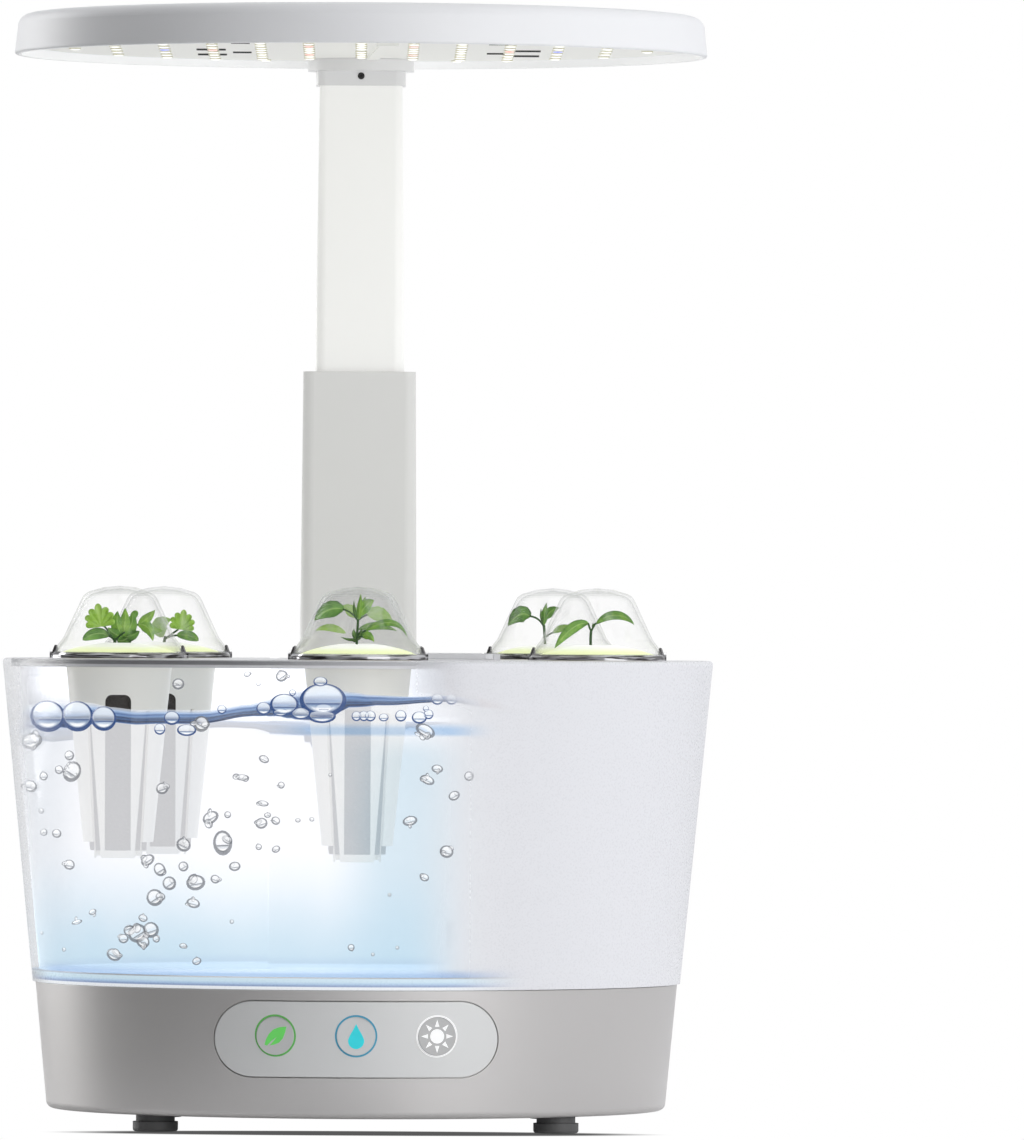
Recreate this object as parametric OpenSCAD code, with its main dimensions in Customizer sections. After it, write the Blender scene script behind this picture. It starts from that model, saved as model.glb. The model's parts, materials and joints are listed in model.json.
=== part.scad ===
/* [Base housing] */
// Diameter of the base at the seam, where the bowl sits on it
base_top_d = 241.2; // [238:0.1:244]
// Diameter of the base at its lower edge
base_bottom_d = 232.8; // [228:0.1:236]
// Height of the base housing, without its feet
base_h = 47.4; // [46.5:0.1:54]
// Wall of the base housing
base_wall = 3; // [2.8:0.1:3.6]
// Rounding of the base's lower edge
base_round = 2.6; // [1:0.1:2.7]
// Thickness of the bottom plate
plate_t = 2.5; // [2:0.1:4]
// Height of the feet under the base
foot_h = 6.2; // [5:0.1:9]
// Diameter of a foot
foot_d = 16.8; // [13:0.1:20]
// Radius of the circle that the feet stand on
foot_circle_r = 105; // [92:0.5:107]
// Radius of the circle of the closing screws
boss_circle_r = 98; // [94:0.5:103]

/* [Control panel] */
// Width of the panel, seen from the front
panel_w = 104.2; // [98:0.1:120]
// Height of the panel
panel_h = 27.8; // [24:0.1:30]
// Height of the panel's centre above the bottom of the base housing
panel_rise = 29.4; // [28:0.1:30]
// Depth of the panel's recess in the base
panel_depth = 1.35; // [1:0.05:1.5]
// How far the panel stands proud of the base
panel_proud = 0.25; // [0.1:0.05:0.5]
// Gap round the panel in its recess
panel_gap = 0.35; // [0.2:0.05:0.5]
// Diameter of a push button and of the water lens
button_d = 14.2; // [13:0.1:18]
// Distance between neighbouring symbols, seen from the front
button_pitch = 29.7; // [27:0.1:32]
// Height of the symbols above the panel's centre
button_rise = 1.3; // [0:0.1:2]
// Inward travel of a push button
button_travel = 1; // [0.5:0.1:1.2]
// Gap round a push button
button_gap = 0.25; // [0.2:0.05:0.5]

/* [Water bowl] */
// Diameter of the bowl at its rim
rim_d = 267; // [262:0.1:276]
// Height of the bowl
bowl_h = 121.4; // [118:0.1:140]
// Wall of the bowl
bowl_wall = 2.5; // [2:0.1:3]
// Thickness of the bowl's floor
bowl_floor_t = 2.4; // [2:0.1:3]
// How far the bowl stands out over the base at the seam
seam_step = 1.1; // [0.6:0.1:2]
// Gap between faces that only rest on each other
seat_gap = 0.2; // [0.1:0.05:0.3]

/* [Grow deck] */
// Thickness of the deck
deck_t = 3; // [2.4:0.1:4]
// Gap round the deck in the bowl
deck_gap = 0.4; // [0.3:0.05:0.6]
// Distance from the rim in to the axes of the outer pods
pod_inset = 38.5; // [37:0.5:39.5]
// Length of the filling lid
lid_l = 34; // [30:0.5:36]
// Width of the filling lid, from its hinge to its front
lid_w = 24; // [22:0.5:26]
// Thickness of the filling lid
lid_t = 2; // [1.6:0.1:2.2]
// Margin of the lid round its port
lid_margin = 4; // [3:0.5:5]

/* [Pods] */
// Diameter of a grow basket just under its flange
basket_d = 40; // [38:0.1:42]
// Diameter of a grow basket at its lower end
basket_end_d = 25; // [24:0.1:27]
// Depth of a grow basket below the deck's top
basket_h = 74.4; // [70:0.1:80]
// Wall of a grow basket
basket_wall = 1.5; // [1.2:0.1:2]
// Diameter of a grow basket's flange
flange_d = 46; // [45:0.1:47]
// Thickness of a grow basket's flange
flange_t = 1.2; // [1:0.1:1.6]
// Width of a basket's front window
window_w = 9.6; // [8:0.1:11]
// Distance from the deck's top down to the windows
window_drop = 13.5; // [11:0.5:18]
// Rise of the crowned label over its edge
label_rise = 4.5; // [1.5:0.1:4.8]
// Thickness of the label
label_t = 0.5; // [0.4:0.1:0.8]
// Diameter of the hole in the label
label_hole_d = 11; // [7:0.1:12]
// Diameter of a dome at its foot
dome_d = 51.4; // [50.6:0.1:53]
// Height of a dome
dome_h = 27; // [26.5:0.1:31]
// Wall of a dome
dome_wall = 0.9; // [0.8:0.05:1]

/* [Mast] */
// Width of the outer mast at its top
outer_w = 43; // [42.4:0.1:43.6]
// Depth of the outer mast
outer_depth = 26; // [25.5:0.1:27]
// Height of the outer mast's top above the deck
outer_rise = 109.7; // [100:0.1:125]
// How much wider the outer mast is at the deck than at its top
outer_taper = 1.7; // [0.5:0.1:2]
// Wall of the outer mast at its top
outer_wall = 2; // [1.8:0.1:2.2]
// Width of the inner mast
inner_w = 34.1; // [33:0.1:35]
// Depth of the inner mast
inner_depth = 17.5; // [16.5:0.1:18]
// How much narrower the inner mast is at the hub
inner_taper = 2.5; // [1:0.1:3]
// Wall of the inner mast at the hub
inner_wall = 2; // [1.5:0.1:2.4]
// Length of the guide collar in the outer mast's mouth
guide_l = 18.7; // [14:0.1:22]
// Running gap of the sliding mast
slide_gap = 0.3; // [0.2:0.05:0.4]
// Least distance from the bowl's lower edge in to the mast's axis
mast_inset = 18.7; // [18.2:0.1:20]
// Width of the rear column that holds the mast
column_w = 60; // [56:0.5:64]
// Wall of the rear column
column_wall = 2.5; // [2:0.1:3]
// Gap between the rear column and the bowl
column_gap = 1; // [0.6:0.1:1.5]

/* [Light hood] */
// Diameter of the hood at its lower edge
hood_d = 260.4; // [256:0.1:266]
// Height of the hood's lower edge above the deck
hood_rise = 226.8; // [220:0.1:245]
// Height of the hood
hood_h = 15.1; // [14:0.1:18]
// How much the hood's side leans in on each side
hood_lean = 1; // [0.4:0.1:2]
// Rounding of the hood's upper edge
hood_round = 5; // [3:0.1:6]
// Wall of the hood
hood_wall = 2.5; // [2:0.1:3]
// Distance from the hood's edge in to the light board
board_margin = 9.2; // [8:0.1:12]
// Thickness of the light board
board_t = 1.2; // [1:0.1:1.6]
// How far the light board sits above the hood's lower edge
board_recess = 2.6; // [2.4:0.1:3.4]
// Width of the notch in the light board
notch_w = 35.8; // [35.4:0.1:37]
// Diameter of the hub's disc
hub_d = 40.6; // [39.5:0.1:42]
// Thickness of the hub's disc
hub_t = 4.4; // [3.5:0.1:5]
// Least distance from the hood's edge in to the hub's axis
hub_inset = 27.2; // [26:0.1:28]
// Height of the hub's sleeve round the inner mast
sleeve_h = 5.6; // [5:0.1:8]
// Wall of the hub's sleeve
sleeve_wall = 1.3; // [1.2:0.1:1.8]

/* [Hidden] */
$fn = 64;
PODS = [1 : 6];

// Rounding of the bowl's rim
rim_round = 1.5;

// Levels, from the table up
seam_z = foot_h + base_h;
rim_z = seam_z + bowl_h;
plate_top = foot_h + plate_t;
base_top_t = 3;
base_ceiling = seam_z - base_top_t;
panel_z = foot_h + panel_rise;
button_z = panel_z + button_rise;
bowl_foot_z = seam_z + seat_gap;
lip_h = 1.8;
lip_gap = 0.4;
bowl_floor_z = seam_z + lip_h + seat_gap;
bowl_inside_z = bowl_floor_z + bowl_floor_t;
deck_z = rim_z - deck_t;
pod_seat_z = rim_z + seat_gap;
flange_top = pod_seat_z + flange_t;
outer_top = rim_z + outer_rise;
hood_z = rim_z + hood_rise;
board_z = hood_z + board_recess;
disc_top = board_z - seat_gap;
disc_z = disc_top - hub_t;
sleeve_z = disc_z - sleeve_h;

// Radii of the two tapered bodies
base_top_r = base_top_d / 2;
base_bottom_r = base_bottom_d / 2;
rim_r = rim_d / 2;
bowl_bottom_r = base_top_r + seam_step;
hood_r = hood_d / 2;
board_r = hood_r - board_margin;

// The mast stands as far back as both the bowl and the hood allow
mast_y = min(bowl_bottom_r - mast_inset, hood_r - hub_inset);

function base_r(z) = base_bottom_r + (base_top_r - base_bottom_r) * (z - foot_h) / base_h;
function bowl_r(z) = bowl_bottom_r + (rim_r - bowl_bottom_r) * (z - seam_z) / bowl_h;

// Points of an arc round [cx, cy]
function arc(cx, cy, r, from, to, steps = 6) =
    [for (i = [0 : steps]) let (a = from + (to - from) * i / steps) [cx + r * cos(a), cy + r * sin(a)]];

// Small shared sizes
vent_circle_r = 46;
vent_r = 2;
foot_angles = [45, 135, 225, 315];
boss_angles = [20, 160, 200, 340];
boss_r = 4;
screw_r = 1.5;
pilot_r = 1.25;
screw_head_r = 2.8;
screw_head_t = 1.6;
screw_gap = 0.2;
thread_l = 12;
wire_hole_r = 6;
shaft_r = 1.5;
running_gap = 0.05;
plate_gap = 0.2;
button_r = button_d / 2;
button_angle = asin(button_pitch / base_r(button_z));
wall_inner_r = base_r(button_z) - base_wall;

// Control board: its plane, its switches and its lamp
board_pcb_t = 1.6;
switch_body = [6, 3.5, 6];
plunger_l = 1.3;
button_stem_r = 2.2;
button_flange_t = 1.2;
button_stop_w = 1.4;
button_stem_l = 7.6;
plunger_gap = 1.1;
button_back_r = wall_inner_r - seat_gap - button_flange_t - button_stem_l;
plunger_tip_y = -(button_back_r - button_travel) * cos(button_angle) + plunger_gap;
pcb_y = plunger_tip_y + plunger_l + switch_body[1];
pcb_side = 10;
pcb_w = 2 * (button_pitch + pcb_side);
pcb_h = 22;
pcb_z = button_z - pcb_h / 2;
post_w = 5;
post_t = 3;
chip_w = 14;
chip_h = 10;
chip_t = 2;
relay_w = 10;
relay_h = 8;
relay_t = 6;

// Inlet for direct current
jack_rise = 18.8;
jack_recess = 0.4;
jack_wall_gap = 0.8;
jack_z = foot_h + jack_rise;
jack_body = [9, 13, 11];
jack_nose_r = 4.75;
jack_bore_r = 3.15;
jack_pin_r = 1.05;
jack_nose_y = base_r(jack_z) - jack_recess;
jack_body_y = base_r(jack_z) - base_wall - jack_wall_gap;
jack_post_d = jack_body[1] - 3;

// Pump: one axis for the motor, its magnet, the impeller and the cover
pump_x = 64;
pump_y = 42;
magnet_r = 12;
magnet_t = 3.4;
magnet_gap = 0.6;
ring_r = magnet_r + 1.5;
ring_wall = 2.5;
magnet_z = base_ceiling - magnet_gap - magnet_t;
motor_top = magnet_z - magnet_gap;
motor_r = 14;
motor_l = 22;
motor_flange_t = 2;
cover_r = 22;
cover_h = 22;
cover_wall = 2.5;
impeller_lift = 3.5;
impeller_h = 10.5;
impeller_disc_t = 4;
blade_t = 1.5;
impeller_z = bowl_inside_z + impeller_lift;
impeller_top = impeller_z + impeller_h;
nozzle_r = 5;
nozzle_reach = 8;
nozzle_y = -cover_r + nozzle_r + 2.5;
nozzle_z = cover_h / 2 + 2;

// Level float on its rod, which stands on the bowl's floor
float_angle = 58;
float_r = 11;
float_h = 14;
rod_r = 2.5;
rod_head_t = 1.5;
water_drop = 21;
water_z = rim_z - water_drop;
float_z = water_z - float_h / 2;
float_gap = 0.3;
float_wall_gap = 0.2;
float_circle_r = min(bowl_bottom_r, rim_r) - bowl_wall - float_r - float_wall_gap;

// Rear column and the notch that it needs in the bowl and the deck
mast_clearance = 1.5;
column_front_y = mast_y - outer_depth / 2 - column_wall - mast_clearance;
column_bottom = seam_z;
column_cap_t = 3;
mast_foot_rise = 8.4;
mast_foot_z = seam_z + mast_foot_rise;
shelf_t = 4;
column_screw_side = 7.5;
column_screw_back = 3.5;
column_screw_x = column_w / 2 - column_screw_side;
column_screw_y = column_front_y + column_wall + column_screw_back;

// Inner mast: foot block, straight part and tapered part
block_z = rim_z - deck_t;
block_h = 12;
inner_top_w = inner_w - inner_taper;
passage_w = outer_w - 2 * outer_wall;
passage_depth = outer_depth - 2 * outer_wall;
bore_w = inner_top_w - 2 * inner_wall;
bore_depth = inner_depth - 2 * inner_wall;
bore_corner = 2.5;
mast_corner = 5;
hub_fit = 0.05;

// Deck and pods
deck_r = bowl_r(deck_z) - bowl_wall - deck_gap;
ledge_w = 2.2;
ledge_h = 3;
pod_circle_r = rim_r - pod_inset;
ring_angles = [-90, -20, 39, 141, 200];
function pod_xy(n) = n == 6 ? [0, 0]
    : [pod_circle_r * cos(ring_angles[n - 1]), pod_circle_r * sin(ring_angles[n - 1])];

// Filling lid, at the point as far from the middle pod as from the first two outer ones
lid_angle = (ring_angles[0] + ring_angles[1]) / 2;
lid_circle_r = pod_circle_r / 2 / cos(lid_angle - ring_angles[0]);
lid_x = lid_circle_r * cos(lid_angle);
lid_y = lid_circle_r * sin(lid_angle);
lid_corner = 3;
port_l = lid_l - 2 * lid_margin;
port_w = lid_w - 2 * lid_margin;
lid_pin_r = 1;
lid_knuckle_r = 1.2;
lid_axis_y = lid_y + lid_w / 2;
lid_axis_z = rim_z + 0.3 + lid_knuckle_r;
ear_w = 2.5;
ear_gap = 0.3;
lid_back_gap = 0.5;

// Basket, sponge and label, measured from the deck's top
hole_gap = 0.5;
hole_r = basket_d / 2 + hole_gap;
basket_r = basket_d / 2;
basket_end_r = basket_end_d / 2;
function basket_at(drop) = basket_r + (basket_end_r - basket_r) * drop / basket_h;
slit_angle = 38;
slit_w = 1.6;
slit_end_w = 3.6;
slit_start_r = basket_end_r - basket_wall - 2;
bar_t = 2;
sponge_bottom = rim_z - basket_h + bar_t + 0.8;
sponge_top = rim_z - deck_t;
sponge_gap = 0.6;
label_r = flange_d / 2 - 0.4;
label_bulge_r = (label_r * label_r + label_rise * label_rise) / (2 * label_rise);
label_half_angle = asin(label_r / label_bulge_r);
label_crown_z = flange_top + label_t + label_rise;

// Dome outline: foot, flare, straight side, round shoulder and crown, as radius and height
dome_r = dome_d / 2;
dome_foot_h = 1.2;
dome_shoulder_r = 5.5;
dome_flare = [[dome_r, 0], [dome_r, dome_foot_h], [dome_r - 1.3, 2.6], [dome_r - 2.3, 4.4],
              [dome_r - 4.9, 7.8]];
dome_crown = concat(arc(dome_r - 16.5, dome_h - 7.2, dome_shoulder_r, 24, 80, 4),
                    [[dome_r - 19.7, dome_h - 0.6]]);

// Light board layout, as shares of the board's radius
led_column_x = [0.162, 0.311, 0.461, 0.611, 0.762];
led_rows = [[0, 0, 5], [0.135, 0.10, 5], [0.293, 0.217, 5], [0.449, 0.29, 4], [0.634, 0.295, 3]];
led_end_x = 0.889;
led_edge = [[0.159, 0.834], [0.303, 0.852]];
centre_first = 0.12;
centre_step = 0.15;
led_half = [for (k = [0 : 4]) for (i = [0 : led_rows[k][2] - 1]) for (s = k == 0 ? [1] : [-1, 1])
    [led_column_x[i], s * (led_rows[k][0] + led_rows[k][1] * led_column_x[i]), k, i]];
led_right = concat(led_half, [[led_end_x, 0, 0, 5]],
    [[led_edge[0][0], -led_edge[0][1], 5, 0], [led_edge[1][0], -led_edge[1][1], 5, 1],
     [led_edge[1][0], led_edge[1][1], 5, 1]]);
function is_red(p) = (p[2] == 0 && p[3] == 2) || (p[2] == 2 && p[3] == 0);
function is_blue(p) = p[2] == 0 && p[3] == 3;
led_centre = concat([for (i = [0 : 5]) [0, -(centre_first + centre_step * i)]],
    [for (i = [0 : 3]) [0, centre_first + centre_step * i]]);
red_spots = [for (p = led_right) if (is_red(p)) for (s = [-1, 1]) [s * p[0], p[1]]];
blue_spots = [for (p = led_right) if (is_blue(p)) for (s = [-1, 1]) [s * p[0], p[1]]];
white_spots = concat(led_centre,
    [for (p = led_right) if (!is_red(p) && !is_blue(p)) for (s = [-1, 1]) [s * p[0], p[1]]]);
led_w = 4.2;
led_d = 3.6;
led_t = 0.7;
led_lens_r = 1.7;
led_lens_h = 1.4;

// Hood and hub
hood_top = hood_z + hood_h;
hood_ceiling = hood_top - hood_wall;
hood_side_top = hood_top - hood_round;
hood_shoulder_r = hood_r - hood_lean;
ledge_z = board_z + board_t;
neck_gap = 1;
neck_r = notch_w / 2 - neck_gap;
neck_drop = 8.9;
neck_top = hood_top - neck_drop;
notch_gap = 0.3;
notch_arc_r = hub_d / 2 + notch_gap;
cable_hole_r = 4;
hub_pilot_l = 6;
hub_screw_x = 9.5;
hub_screw_head_r = 2.4;
set_screw_r = 1.3;
set_screw_drop = 1.9;
set_screw_z = disc_z - set_screw_drop;
lead_w = 4.6;
lead_t = 0.8;
lead_start = [4.4, mast_y - notch_arc_r];
lead_end = [9.8, -72];
lead_plug = [8, 10, 1.8];

// Plan of a rectangle with rounded corners
module rounded_plan(w, d, r) {
    square([w - 2 * r, d], center = true);
    square([w, d - 2 * r], center = true);
    for (sx = [-1, 1], sy = [-1, 1])
        translate([sx * (w / 2 - r), sy * (d / 2 - r)]) circle(r);
}

// Upright block with a rounded plan, round the mast's axis
module mast_block(w, d, r, z, h) {
    translate([0, mast_y, z]) linear_extrude(h) rounded_plan(w, d, r);
}

// Plan of the inner mast at the hub, grown by a margin: its sides are cut flat by the taper
module mast_tip(grow, z, h) {
    intersection() {
        mast_block(inner_w + 2 * grow, inner_depth + 2 * grow, mast_corner - 1 + grow, z, h);
        translate([-inner_top_w / 2 - grow, mast_y - inner_depth, z - 1])
            cube([inner_top_w + 2 * grow, 2 * inner_depth, h + 2]);
    }
}

// Ring between two radii
module ring(inner, outer, z, h) {
    translate([0, 0, z]) difference() {
        cylinder(r = outer, h = h);
        translate([0, 0, -1]) cylinder(r = inner, h = h + 2);
    }
}

// Turns a child that points along +X to face a direction on the base's wall
module facing(angle) {
    rotate([0, 0, angle - 90]) translate([0, 0, button_z]) rotate([0, 90, 0]) children();
}

// Capsule seen from the front, cut through the whole wall
module panel_prism(grow) {
    h = panel_h + 2 * grow;
    half = (panel_w - panel_h) / 2;
    translate([0, -base_bottom_r / 2, panel_z]) rotate([90, 0, 0]) linear_extrude(base_top_r) {
        square([2 * half, h], center = true);
        for (s = [-1, 1]) translate([s * half, 0]) circle(h / 2);
    }
}

// Skin of the base's cone between two offsets from its outside
module base_skin(inside, outside) {
    low = panel_z - panel_h;
    high = panel_z + panel_h;
    rotate_extrude() polygon([
        [base_r(low) + inside, low], [base_r(low) + outside, low],
        [base_r(high) + outside, high], [base_r(high) + inside, high]
    ]);
}

module button_bores() {
    for (a = [-button_angle, 0, button_angle]) facing(a) translate([0, 0, wall_inner_r - 12])
        cylinder(r = a == 0 ? button_r : button_r + button_gap, h = base_wall + 20);
}

module base_shell() {
    foot_inner_r = base_bottom_r - base_wall;
    lip_outer_r = bowl_bottom_r - bowl_wall - lip_gap;
    color([0.66, 0.64, 0.63]) difference() {
        union() {
            rotate_extrude() polygon(concat(
                [[foot_inner_r, foot_h]],
                arc(base_bottom_r - base_round, foot_h + base_round, base_round, -90, -3),
                [[base_top_r, seam_z], [0, seam_z], [0, base_ceiling],
                 [base_r(base_ceiling) - base_wall, base_ceiling]]
            ));
            difference() {
                ring(lip_outer_r - 3, lip_outer_r, seam_z - 0.5, 0.5 + lip_h);
                translate([-column_w / 2 - column_gap, column_front_y - column_gap, seam_z - 1])
                    cube([column_w + 2 * column_gap, base_top_r, 3 + lip_h]);
            }
            for (a = boss_angles) rotate([0, 0, a]) translate([boss_circle_r, 0, plate_top])
                cylinder(r = boss_r, h = base_ceiling + 1 - plate_top);
            translate([pump_x, pump_y, 0])
                ring(ring_r, ring_r + ring_wall, motor_top, base_ceiling + 1 - motor_top);
        }
        intersection() {
            panel_prism(panel_gap);
            base_skin(-panel_depth, 4);
        }
        button_bores();
        for (a = boss_angles) rotate([0, 0, a]) translate([boss_circle_r, 0, foot_h])
            cylinder(r = pilot_r, h = base_h - base_top_t - 8);
        translate([0, mast_y, base_ceiling - 1]) cylinder(r = wire_hole_r, h = base_top_t + 2);
        for (s = [-1, 1]) translate([s * column_screw_x, column_screw_y, base_ceiling - 1])
            cylinder(r = screw_r + screw_gap, h = base_top_t + 2);
        translate([0, base_bottom_r - 12, jack_z]) rotate([-90, 0, 0])
            cylinder(r = jack_nose_r + 0.15, h = 20);
    }
}

module bottom_plate() {
    color([0.35, 0.35, 0.36]) difference() {
        union() {
            translate([0, 0, foot_h]) cylinder(r = base_bottom_r - base_wall - plate_gap, h = plate_t);
            translate([-jack_body[0] / 2, jack_body_y - jack_body[1], plate_top - 0.5])
                cube([jack_body[0], jack_post_d, jack_z - jack_body[2] / 2 - plate_top + 0.5]);
            for (s = [-1, 1])
                translate([s * (pcb_w / 2 - 2) - post_w / 2, pcb_y - post_t, plate_top - 0.5])
                    cube([post_w, 2 * post_t + board_pcb_t, pcb_z + 2 * post_t - plate_top]);
        }
        translate([-pcb_w / 2, pcb_y, pcb_z]) cube([pcb_w, board_pcb_t, pcb_h]);
        for (a = boss_angles) rotate([0, 0, a]) translate([boss_circle_r, 0, foot_h]) {
            translate([0, 0, -1]) cylinder(r = screw_r + screw_gap, h = plate_t + 2);
            translate([0, 0, -1]) cylinder(r = screw_head_r + screw_gap + 0.1, h = 1 + screw_head_t + 0.1);
        }
        for (a = foot_angles) rotate([0, 0, a]) translate([foot_circle_r, 0, foot_h - 1])
            cylinder(r = 3.1, h = plate_t + 2);
        for (a = [0 : 30 : 330]) rotate([0, 0, a]) translate([vent_circle_r, 0, foot_h - 1])
            cylinder(r = vent_r, h = plate_t + 2);
    }
}

// Round-headed screw, head down, its shank going up from the head's top
module screw(shank_l, head_r = screw_head_r, head_t = screw_head_t, r = screw_r) {
    difference() {
        union() {
            cylinder(r = head_r, h = head_t);
            cylinder(r = r, h = head_t + shank_l);
        }
        translate([0, 0, -0.1]) cylinder(r = head_r / 2, h = 0.9, $fn = 6);
    }
}

module base_screws() {
    color([0.75, 0.75, 0.77]) {
        for (a = boss_angles) rotate([0, 0, a]) translate([boss_circle_r, 0, foot_h + 0.1]) screw(thread_l);
        for (s = [-1, 1]) translate([s * column_screw_x, column_screw_y, base_ceiling - screw_head_t])
            screw(base_top_t + 8);
    }
}

module feet() {
    sole_h = foot_h * 0.6;
    sole_r = foot_d / 2;
    color([0.12, 0.12, 0.13]) for (a = foot_angles) rotate([0, 0, a]) translate([foot_circle_r, 0, 0])
        rotate_extrude() polygon(concat(
            [[0, 0]],
            arc(sole_r - 1, 1, 1, -90, 0, 4),
            [[sole_r, sole_h], [sole_r - 1.2, sole_h], [sole_r - 1.2, foot_h], [3, foot_h],
             [3, plate_top], [3.8, plate_top], [2.6, plate_top + 2], [0, plate_top + 2]]
        ));
}

module control_panel() {
    color([0.82, 0.82, 0.82]) difference() {
        intersection() {
            panel_prism(0);
            base_skin(-panel_depth, panel_proud);
        }
        button_bores();
    }
}

// Push button: face, barrel, stop flange behind the wall and stem towards its switch
module push_button(angle) {
    face_r = base_r(button_z) + panel_proud + 0.2;
    stop_r = base_r(button_z - button_r - button_stop_w) - base_wall - button_gap;
    facing(angle) {
        translate([0, 0, stop_r - button_flange_t]) {
            cylinder(r = button_r, h = face_r - stop_r + button_flange_t);
            cylinder(r = button_r + button_stop_w, h = button_flange_t);
        }
        translate([0, 0, button_back_r]) cylinder(r = button_stem_r, h = stop_r - button_back_r);
    }
}

module food_button() {
    color([0.8, 0.84, 0.8]) push_button(-button_angle);
}

module light_button() {
    color([0.84, 0.84, 0.84]) push_button(button_angle);
}

module water_lens() {
    face_r = base_r(button_z) + panel_proud + 0.1;
    back_r = base_r(button_z) - base_wall - 4;
    color([0.75, 0.85, 0.9]) facing(0) {
        translate([0, 0, back_r]) cylinder(r = button_r, h = face_r - back_r);
        translate([0, 0, back_r - 1]) cylinder(r = button_r - 2, h = 1);
    }
}

module control_board() {
    color([0.1, 0.35, 0.2]) {
        translate([-pcb_w / 2, pcb_y, pcb_z]) cube([pcb_w, board_pcb_t, pcb_h]);
        for (s = [-1, 1]) {
            x = s * (button_back_r - button_travel) * sin(button_angle);
            translate([x - switch_body[0] / 2, pcb_y - switch_body[1], button_z - switch_body[2] / 2])
                cube(switch_body);
            translate([x, pcb_y, button_z]) rotate([90, 0, 0])
                cylinder(r = 1.6, h = switch_body[1] + plunger_l);
        }
        translate([0, pcb_y, button_z]) rotate([90, 0, 0]) cylinder(r = 2.5, h = 5);
        translate([0, pcb_y + board_pcb_t - 0.1, button_z]) {
            translate([-chip_w / 2, 0, -chip_h / 2]) cube([chip_w, chip_t, chip_h]);
            translate([chip_w, 0, -relay_h / 2]) cube([relay_w, relay_t, relay_h]);
        }
    }
}

module dc_jack() {
    color([0.08, 0.08, 0.08]) difference() {
        union() {
            translate([-jack_body[0] / 2, jack_body_y - jack_body[1], jack_z - jack_body[2] / 2])
                cube(jack_body);
            translate([0, jack_body_y - 1, jack_z]) rotate([-90, 0, 0])
                cylinder(r = jack_nose_r, h = jack_nose_y - jack_body_y + 1);
        }
        translate([0, jack_nose_y - 10, jack_z]) rotate([-90, 0, 0]) difference() {
            cylinder(r = jack_bore_r, h = 12);
            translate([0, 0, -1]) cylinder(r = jack_pin_r, h = 10);
        }
    }
}

module pump_motor() {
    color([0.6, 0.6, 0.62]) translate([pump_x, pump_y, 0]) difference() {
        union() {
            translate([0, 0, motor_top - motor_flange_t])
                cylinder(r = ring_r + ring_wall, h = motor_flange_t);
            translate([0, 0, motor_top - motor_flange_t - motor_l]) cylinder(r = motor_r, h = motor_l + 0.5);
            translate([0, 0, motor_top - motor_flange_t - motor_l - 3]) cylinder(r = 5, h = 3.5);
        }
        translate([0, 0, motor_top - motor_l]) cylinder(r = shaft_r + running_gap, h = motor_l + 1);
    }
}

module drive_magnet() {
    color([0.3, 0.3, 0.33]) translate([pump_x, pump_y, 0]) {
        translate([0, 0, magnet_z]) cylinder(r = magnet_r, h = magnet_t);
        translate([0, 0, motor_top - motor_l + 1]) cylinder(r = shaft_r, h = magnet_z - motor_top + motor_l);
    }
}

// Solid of the bowl's outer form, with its rounded rim
module bowl_form(from_z) {
    rotate_extrude() polygon(concat(
        [[0, from_z], [bowl_r(from_z), from_z]],
        arc(rim_r - rim_round, rim_z - rim_round, rim_round, 0, 90, 4),
        [[0, rim_z]]
    ));
}

// Block that fills the column's place, grown by a margin
module column_prism(grow, from_z) {
    translate([-column_w / 2 - grow, column_front_y - grow, from_z])
        cube([column_w + 2 * grow, rim_r, rim_z + 2 - from_z]);
}

module rear_column() {
    color([0.88, 0.88, 0.88]) difference() {
        intersection() {
            bowl_form(column_bottom);
            column_prism(0, column_bottom - 1);
        }
        difference() {
            rotate_extrude() polygon([
                [0, column_bottom - 1], [bowl_r(column_bottom) - column_wall, column_bottom - 1],
                [bowl_r(rim_z - column_cap_t) - column_wall, rim_z - column_cap_t], [0, rim_z - column_cap_t]
            ]);
            translate([-column_w, -rim_r, column_bottom - 2])
                cube([2 * column_w, rim_r + column_front_y + column_wall, bowl_h + 4]);
            for (s = [-1, 1])
                translate([s * column_w - column_w / 2 - s * column_wall, 0, column_bottom - 2])
                    cube([column_w, rim_r, bowl_h + 4]);
            translate([-column_w, 0, mast_foot_z - shelf_t]) cube([2 * column_w, rim_r, shelf_t]);
            for (s = [-1, 1]) translate([s * column_screw_x, column_screw_y, column_bottom - 1])
                cylinder(r = 4, h = mast_foot_z - column_bottom);
        }
        mast_block(outer_w + outer_taper, outer_depth, mast_corner,
                   rim_z - column_cap_t - 1, column_cap_t + 2);
        translate([0, mast_y, mast_foot_z - shelf_t - 1]) cylinder(r = wire_hole_r, h = shelf_t + 2);
        for (s = [-1, 1]) translate([s * column_screw_x, column_screw_y, column_bottom - 1])
            cylinder(r = pilot_r, h = thread_l);
    }
}

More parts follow.
